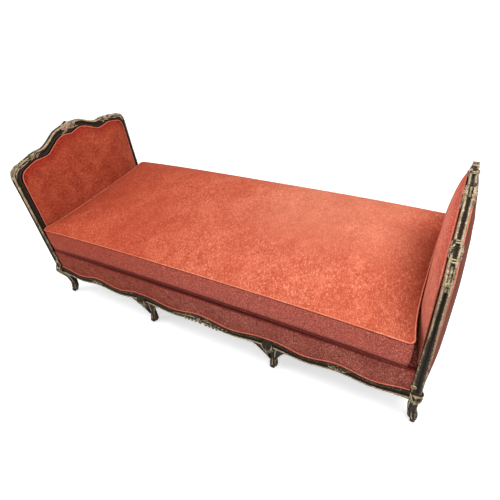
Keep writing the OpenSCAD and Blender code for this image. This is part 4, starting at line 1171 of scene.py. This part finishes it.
def corner_leg(rise):
    """The front leg and post of the foot end: leg, post, the blocks behind them, and two brackets."""
    leg = Leg(POST_MID, 0.010, KNEE_TOP, 0.024)
    beside = POST_IN - 0.040 * np.linspace(0, 1, 16)
    behind = 0.040 * np.linspace(0, 1, 16) - STUMP_IN
    low, y = foot_z(1.0), -OPENING_HALF - 0.002
    return carved_leg(leg, 1.0) + [
        arch_bead(leg), knee_line(leg), foot_curl(), frame_band(*post_lines(rise, KNEE_TOP - 0.016)),
        chamfered((POST_IN, 0.001 - HALF_DEPTH, low), (HALF_LENGTH, -OPENING_HALF, KNEE_TOP), 0.004),
        chamfered((POST_IN, y, low), (HALF_LENGTH, -STUMP_IN, cord_z(1.0)), 0.002),
        chamfered((POST_IN, y, low), (HALF_LENGTH - REBATE, -STUMP_IN, DECK_TOP), 0.002),
        bracket(beside, side_wave(beside), SHOW_BACK), bracket(behind, end_wave(behind), END_SHOW_BACK, True)]


middle = middle_leg()
for row, y in SIDES:
    for half, x in (("left", -1), ("right", 1)):
        piece(f"{row}_{half}_middle_leg", mirrored(middle, x, y), WOOD, f"{row}_{half}_mid_leg")
for end, sign, rise in ENDS:
    corner = corner_leg(rise)
    for row, y in SIDES:
        piece(f"{end}_{row}_post_and_leg", mirrored(corner, sign, y), WOOD, f"{end}_{row}_leg")


# Soft pieces

# Each face of an end: the plane behind the padding, which way it swells, its depth at the edge, its crown,
# how far the simulation may move it, and the piping's distance from the plane
PANEL_FACES = (("inside", INSIDE_BACK, -1, INSIDE_EDGE, INSIDE_CROWN, 0.004, 0.0072),
               ("outside", OUTSIDE_BACK, 1, OUTSIDE_EDGE, OUTSIDE_CROWN, 0.003, 0.0046))
PANEL_VELVETS = {("head", "inside"): END_VELVET, ("foot", "inside"): LIT_FOOT_VELVET,
                 ("head", "outside"): SHADED_OUTER_VELVET, ("foot", "outside"): SHADED_OUTER_VELVET}
PANEL_INSET = 0.007
PANEL_HALF_H = 0.25
CORD_INSET = 0.0034
LINING_INSET = 0.0062
STRAP_END = 0.022
# Distance of a mattress piping outside its seam, and of the border's piping from the frame and the cord line
SEAM_OUT = 0.0019
BORDER_CORD_OUT = 0.0085
BORDER_CORD_UP = 0.0032


def edge_of(rows, cols):
    """Numbers of a grid's edge points, once round."""
    i = np.arange(rows * cols).reshape(rows, cols)
    return np.concatenate([i[0, :-1], i[:-1, -1], i[-1, :0:-1], i[:0:-1, 0]])


def edge_points(grid):
    """A grid's edge points, once round."""
    return grid.reshape(-1, 3)[edge_of(*grid.shape[:2])]


def rim_between(front, back, *shares):
    """Rows of rim points between the edges of two grids, each at a share of the straight way from front
    to back."""
    t = np.array(shares)[:, None, None]
    return edge_points(front) * (1 - t) + edge_points(back) * t


def cushion(front, back, rim, front_value=0.0, rim_value=0.0):
    """Closed cushion from two grids that face apart, joined round their edges by rows of rim points.

    The values become the relief attribute: rim_value has one for each row of the rim."""
    rows, cols = front.shape[:2]
    edge, count = edge_of(rows, cols), rows * cols
    k = len(edge)
    loops = [edge] + [2 * count + i * k + np.arange(k) for i in range(len(rim))] + [count + edge]
    bands = [np.stack([b, np.roll(b, -1), np.roll(a, -1), a], 1) for a, b in zip(loops, loops[1:])]
    quads = grid_quads(rows, cols)
    points = np.vstack([front.reshape(-1, 3), back.reshape(-1, 3), rim.reshape(-1, 3)])
    value = np.concatenate([np.broadcast_to(front_value, (rows, cols)).reshape(-1), np.zeros(count),
                            np.repeat(np.broadcast_to(rim_value, len(rim)), k)])
    return outward((points, [quads, count + quads[:, ::-1]] + bands, value))


def thin_sheet(front, shift):
    """Closed thin sheet: a grid and the same grid shifted by the thickness, joined round the edge."""
    back = front + np.array(shift)
    return cushion(front, back, rim_between(front, back, 0.5))


def coordinates(mesh):
    """A mesh's points as rows of three."""
    co = np.empty(len(mesh.vertices) * 3, np.float32)
    mesh.vertices.foreach_get("co", co)
    return co.reshape(-1, 3)


def set_coordinates(mesh, points):
    """Writes a mesh's points back."""
    mesh.vertices.foreach_set("co", np.asarray(points, np.float32).reshape(-1))
    mesh.update()


def swollen(made, pinned, cap, pressure=4.0, frames=18):
    """Blows a cushion up with a cloth simulation, holds its pinned points, and lets no point move more
    than cap."""
    rest = coordinates(made.data)
    made.vertex_groups.new(name="seams").add(np.flatnonzero(pinned).tolist(), 1.0, "REPLACE")
    blown = made.modifiers.new("cloth", "CLOTH")
    settings = blown.settings
    settings.quality = 5
    settings.mass = 0.4
    settings.tension_stiffness = settings.compression_stiffness = 14
    settings.shear_stiffness = 6
    settings.bending_stiffness = 1.0
    settings.use_pressure = True
    settings.uniform_pressure_force = pressure
    settings.vertex_group_mass = "seams"
    settings.effector_weights.gravity = 0
    blown.collision_settings.use_collision = False
    blown.point_cache.frame_start, blown.point_cache.frame_end = 1, frames
    scene = bpy.context.scene
    for number in range(1, frames + 1):
        scene.frame_set(number)
    step = coordinates(made.evaluated_get(bpy.context.evaluated_depsgraph_get()).data) - rest
    step *= np.minimum(1, cap / np.maximum(np.linalg.norm(step, axis=1, keepdims=True), 1e-9))
    made.modifiers.remove(blown)
    made.vertex_groups.clear()
    scene.frame_set(1)
    set_coordinates(made.data, rest + step)


def padding(made, pinned, cap, kept_in):
    """Swells a cushion, keeps it inside its bounds and smooths it by one subdivision."""
    swollen(made, pinned, cap)
    set_coordinates(made.data, kept_in(coordinates(made.data).astype(float)))
    smooth = made.modifiers.new("smooth", "SUBSURF")
    smooth.levels = smooth.render_levels = 1


def close_lines(half, radius, step, fine=5):
    """Grid lines from -1 to 1: fine ones within the corner radius, even ones between."""
    r = radius / half
    middle = np.linspace(-1 + r, 1 - r, int(round(2 * half * (1 - r) / step)))
    edge = np.linspace(0, r, fine + 1)[1:]
    return np.concatenate([-1 + r - edge[::-1], middle, 1 - r + edge])


def mattress_plan(u, v, inset):
    """Rounds a rectangle's corners by mapping each corner square on a quarter disc, then draws the ends
    and sides in."""
    hl, hd, r = MATTRESS_HALF_L - inset, MATTRESS_HALF_D - inset, MATTRESS_R - inset * 0.5
    x, y = u * hl, v * hd
    ax, ay = (np.abs(x) - (hl - r)) / r, (np.abs(y) - (hd - r)) / r
    corner = (ax > 0) & (ay > 0)
    a, b = np.clip(ax, 0, 1), np.clip(ay, 0, 1)
    x = np.where(corner, hl - r + r * a * np.sqrt(1 - b * b / 2), np.abs(x)) * np.sign(x)
    y = np.where(corner, hd - r + r * b * np.sqrt(1 - a * a / 2), np.abs(y)) * np.sign(y)
    return x * (1 - END_BOW / hl * (1 - (y / hd) ** 4)), y * (1 - SIDE_BOW / hd * (1 - (x / hl) ** 2))


def seam_lift(x):
    """Rise of the mattress's seams over their ends: it falls from the middle as the cube of the distance."""
    return SEAM_LIFT * (1 - np.minimum(np.abs(x) / MATTRESS_HALF_L, 1) ** 3)


def fuller(x):
    """Extra filling of the mattress near the head end."""
    return 0.006 * bell(x, -0.30, 0.40)


def away_from_middle(line):
    """Level directions square to a closed line, pointing away from its middle."""
    out = unit(np.cross(directions(line, closed=True), [0, 0, 1]))
    return out * np.sign((out * line * [1, 1, 0]).sum(1))[:, None]


def within_mattress(p):
    """Holds the mattress's points under its crown and within its drawn-in ends and its sides."""
    p[:, 2] = np.minimum(p[:, 2], SEAT + seam_lift(p[:, 0]) + CROWN_LIMIT + fuller(p[:, 0]))
    end = MATTRESS_HALF_L - END_BOW * (1 - np.minimum(np.abs(p[:, 1]) / MATTRESS_HALF_D, 1) ** 4) + PUFF
    p[:, 0] = np.clip(p[:, 0], -end, end)
    p[:, 1] = np.clip(p[:, 1], -MATTRESS_HALF_D - PUFF, MATTRESS_HALF_D + PUFF)
    return p


def mattress_welt(name, seam, radius, finish, node, shadow=0.0):
    """Piping along a seam of the mattress, a little outside it; shadow darkens all of it."""
    line = resample(np.vstack([seam, seam[:1]]), 721)[:-1]
    points, faces, relief = cord(line + away_from_middle(line) * SEAM_OUT, radius, lumps=0.04)
    piece(f"mattress_{name}_welt", [(points, faces, relief + shadow)], finish, node, "mattress")


def build_mattress():
    """Crowned top and flat bottom over the rounded plan, with a boxing that bulges as half a sine wave
    between seams."""
    u, v = np.meshgrid(close_lines(MATTRESS_HALF_L, MATTRESS_R, 0.0125),
                       close_lines(MATTRESS_HALF_D, MATTRESS_R, 0.0125))
    x, y = mattress_plan(u, v, PUFF)
    crown = np.sqrt(np.clip((1 - np.abs(u) ** 7) * (1 - np.abs(v) ** 4.5), 0, 1))
    swell = CROWN + fuller(x) + 0.0016 * ripple(x, y, 0 * x, 0.3, 0.55)
    top = xyz(x, y, SEAT + seam_lift(x) + crown * swell)
    x, y = mattress_plan(u, v, 0.0075)
    edge = smoothstep(0.86, 1.0, np.maximum(np.abs(u), np.abs(v) * 0.5 + 0.5))
    bottom = xyz(x, y, MATTRESS_BOTTOM + (seam_lift(x) + 0.0045) * edge)

    high, low = edge_points(top), edge_points(bottom)
    out = away_from_middle(high)
    shares = [0.012, 0.03, 0.052, 0.085, 0.17, 0.28, 0.4, 0.52, 0.64, 0.76, 0.86, 0.93, 0.975]
    shade = [1.0, 1.0, 0.82, 0.52, 0.5, 0.5, 0.5, 0.5, 0.5, 0.56, 0.72, 0.95, 1.0]
    t = np.array(shares)[:, None, None]
    bulge = BOXING_BULGE * np.sin(np.pi * t) ** 0.7 + BOXING_LEAN * t
    rim = rim_between(top, bottom, *shares) + out * bulge
    dent = BOXING_DENT * ripple(*np.moveaxis(rim, -1, 0), 1.7, 0.16)[..., None] * np.sin(np.pi * t)
    made = piece("mattress_body", [cushion(top, bottom, rim + out * dent, rim_value=shade)], MATTRESS_TOP,
                 "mattress_cushion", "mattress")
    count, k = u.size, len(high)
    pinned = np.zeros(len(made.data.vertices), bool)
    pinned[edge_of(*u.shape)] = True
    pinned[count:2 * count + k] = True
    pinned[-2 * k:] = True
    padding(made, pinned, 0.006, within_mattress)
    mattress_welt("upper", high, 0.0024, HIGHLIT_CORD, "mattress_top_piping")
    mattress_welt("lower", low, 0.0022, MATTRESS_TOP, "mattress_bottom_piping", 0.86)


def opening_top(y, rise, inset):
    """Height of an end opening's upper line at y, for points with a given inset."""
    curve = spline(OPENING_SHARES[:-1], 12)
    return np.interp(np.abs(y), curve[:, 0] * (OPENING_HALF - inset), SEAT + curve[:, 1] * rise - inset)


def end_panel(end, sign, rise, where, plane, way, edge, crown, cap):
    """Padded panel of an end: rows from its lower line to the opening's upper line, depth a product of
    two swells."""
    w = OPENING_HALF - PANEL_INSET
    u, v = np.meshgrid(close_lines(w, 0.03, 0.011), close_lines(PANEL_HALF_H, 0.03, 0.011))
    y = w * u
    low = DECK_TOP + 2 * FIT if where == "inside" else cord_z(end_wave(y)) + PANEL_INSET
    z = low + (v + 1) / 2 * (opening_top(y, rise, PANEL_INSET) - low)
    swell = np.clip((1 - np.abs(u) ** 4.5) * (1 - np.abs(v) ** 3.6) ** 0.5, 0, 1)
    depth = edge + crown * swell * (1 + 0.035 * ripple(0 * y, y, z, 0.7 + rise, 0.3))
    limit = edge + crown * np.maximum(1 - np.maximum(np.abs(u), np.abs(v)) ** 5, 0) * 1.1 + 0.001
    front, back = xyz(plane + way * np.minimum(depth, limit), y, z), xyz(plane, y, z)
    shade = (0.34 * smoothstep(0.070, 0.004, PANEL_HALF_H * (1 - v))
             + 0.10 * smoothstep(0.030, 0.002, w * (1 - np.abs(u))))
    shell = cushion(front, back, rim_between(front, back, 0.12, 0.4, 0.75), shade, [0.9, 1, 1])
    made = piece(f"{end}_{where}_panel", mirrored([shell], x=sign), PANEL_VELVETS[end, where],
                 f"{end}_{where}_pad")
    inner = np.zeros(u.shape, bool)
    inner[1:-1, 1:-1] = True
    pinned = np.ones(len(made.data.vertices), bool)
    pinned[:u.size] = ~inner.reshape(-1)

    def within_frame(p):
        swelling = (p[:, 0] * sign - plane) * way
        p[:, 0] = sign * (plane + way * np.clip(swelling, 0, edge + crown))
        return p

    padding(made, pinned, cap, within_frame)


def end_welt(end, sign, rise, where, x):
    """Piping round an end opening: up one side, over the top and down the other; outside it closes along
    the rail."""
    w = OPENING_HALF - CORD_INSET
    inside = where == "inside"
    curve = spline(OPENING_SHARES[:-1], 10) * [w, rise] + [0, SEAT - CORD_INSET]
    half = np.vstack([curve, [w, DECK_TOP + 0.003 if inside else cord_z(1.0) + CORD_INSET]])
    line = np.vstack([half[::-1] * [-1, 1], half[1:]])
    if not inside:
        y = np.linspace(w, -w, 90)[1:-1]
        line = np.vstack([line, rows_of(y, cord_z(end_wave(y)) + CORD_INSET), line[:1]])
    line = resample(line, 420)[:420 if inside else 419]
    welt = cord(xyz(x, line[:, 0], line[:, 1]), WELT_R, closed=not inside)
    piece(f"{end}_{where}_welt", mirrored([welt], x=sign), RED_CORD, f"{end}_{where}_piping")


def backing(end, sign, rise, where, x, low):
    """Linen behind a panel: straight rows from a lower height to the opening's upper line."""
    w = OPENING_HALF - LINING_INSET
    y, t = np.meshgrid(np.linspace(-w, w, 90), np.linspace(0, 1, 50))
    z = low + t * (opening_top(y, rise, LINING_INSET) - low)
    sheet = thin_sheet(xyz(x, y, z), (LINING_T, 0, 0))
    made = piece(f"{end}_{where}_lining", mirrored([sheet], x=sign), LINEN, f"{end}_{where}_backing")
    middles = (y[0, 1:] + y[0, :-1]) / 2
    area = float((opening_top(middles, rise, LINING_INSET) - low) @ np.diff(y[0]))
    z.max() - low


def build_border(where, sign):
    """Padded band over the upper rail: its depth rises from the cord line, bellies out and rolls over
    the deck's edge."""
    reach = POST_IN - 2 * FIT
    rows = np.append(np.linspace(0, 0.9, 22), np.linspace(0.92, 1, 9))
    x, t = np.meshgrid(np.linspace(-reach, reach, 321), rows)
    depth = np.interp(t, [0, 0.05, 0.16, 0.4, 0.7, 0.86, 0.94, 0.985, 1],
                      [0.0042, 0.0064, 0.0079, 0.0090, 0.0089, 0.0079, 0.0059, 0.0026, 0.0008])
    depth = depth + 0.0006 * ripple(x, 0 * x, t * 0.12, 2.2, 0.22) * np.sin(np.pi * t)
    plane = -UPPER_FACE - FIT
    low = cord_z(side_wave(x)) + FIT
    front = xyz(x, plane - depth, low + t * (DECK_TOP - low))
    back = xyz(x, plane, low + t * (DECK_TOP - FIT - low))
    shade = np.maximum(smoothstep(0.80, 0.96, t), 0.16 * smoothstep(-0.22, -0.42, x))
    shell = cushion(front, back, rim_between(front, back, 0.5), shade, 1.0)
    made = piece(f"{where}_band", mirrored([shell], y=sign), SHADED_BASE_VELVET, f"{where}_border")
    x = np.linspace(-POST_IN + 0.0036, POST_IN - 0.0036, 700)
    path = xyz(x, plane - BORDER_CORD_OUT, cord_z(side_wave(x)) + BORDER_CORD_UP)
    welt = cord(path, WELT_R, closed=False)
    piece(f"{where}_band_welt", mirrored([welt], y=sign), RED_CORD, f"{where}_border_piping")


def build_deck():
    """Deck cloth over a pad whose rim stands out a little past its faces."""
    reach_x, reach_y = POST_IN - FIT, UPPER_FACE - FIT
    x, y = np.meshgrid(np.linspace(-reach_x, reach_x, 80), np.linspace(-reach_y, reach_y, 40))
    upper, lower = xyz(x, y, DECK_TOP - DECK_CLOTH_T), xyz(x, y, RAIL_TOP + 2 * STRAP_T)
    sheet = thin_sheet(upper, (0, 0, DECK_CLOTH_T))
    made = piece("deck_cover", [sheet], SHADED_BASE_VELVET, "deck_cloth")
    drawn_in = 1 - np.array([0.002 / reach_x, 0.002 / reach_y, 0])
    shell = cushion(upper * drawn_in, lower * drawn_in, rim_between(upper, lower, 0.12, 0.5, 0.88))
    piece("deck_stuffing", [shell], WADDING, "deck_pad")


def build_webbing(name, node, reach, steps, count, spread, level, crossing):
    """One layer of straps, laid at even distances over the spread, along the bed or crossing it."""
    straps = []
    for i in range(count):
        middle = spread * ((2 * i + 1) / count - 1)
        across = middle + STRAP_W * np.linspace(-0.5, 0.5, 7)
        long, wide = np.meshgrid(np.linspace(-reach, reach, steps), across)
        strip = xyz(wide, long, level) if crossing else xyz(long, wide, level)
        straps.append(thin_sheet(strip, (0, 0, STRAP_T)))
    made = piece(name, straps, JUTE, node)


def build_dust_sheet():
    """Black cloth under the seat: strips side by side, narrower beside the corner posts and the middle
    legs."""
    reach_x, reach_y = END_SHOW_BACK - FIT, SHOW_BACK - FIT
    near, far, notch_x = MID_NEAR - FIT, MID_FAR + FIT, POST_IN - FIT
    stops = np.array([-reach_x, -notch_x, -far, -near, near, far, notch_x, reach_x])
    notch_y, slot_y = STUMP_IN - FIT, RAIL_BACK - FIT
    halves = np.array([notch_y, reach_y, slot_y, reach_y, slot_y, reach_y, notch_y])
    counts = np.maximum(2, (np.diff(stops) / 0.02).astype(int))
    x = np.concatenate([np.linspace(*strip) for strip in zip(stops, stops[1:], counts)])
    y = np.linspace(-1, 1, 30)[:, None] * np.repeat(halves, counts)
    sheet = thin_sheet(xyz(x, y, HIDDEN_BOTTOM - DUST_T), (0, 0, DUST_T))
    made = piece("dust_sheet", [sheet], BLACK_CLOTH, "dust_cloth")


for end, sign, rise in ENDS:
    for where, plane, way, edge, crown, cap, away in PANEL_FACES:
        end_panel(end, sign, rise, where, plane, way, edge, crown, cap)
        end_welt(end, sign, rise, where, plane + way * away)
    backing(end, sign, rise, "inside", POST_IN + REBATE - LINING_T, DECK_TOP + 0.0225)
    backing(end, sign, rise, "outside", HALF_LENGTH - REBATE, cord_z(1.0) + FIT)
for row, y in SIDES:
    build_border(row, y)
build_deck()
build_webbing("webbing_along", "long_webbing", POST_IN + STRAP_END, 60, 6, RAIL_BACK, RAIL_TOP, False)
build_webbing("webbing_across", "cross_webbing", RAIL_BACK + STRAP_END, 40, 19, POST_IN,
              RAIL_TOP + STRAP_T, True)
build_dust_sheet()
build_mattress()


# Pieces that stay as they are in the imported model
for material, names in (
        (BEECH, ("head_stay_rail", "foot_stay_rail", "left_cross_rail", "right_cross_rail", "corner_blocks")),
        (STEEL, ("corner_block_screws",))):
    for name in names:
        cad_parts[name].data.materials.clear()
        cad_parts[name].data.materials.append(material)
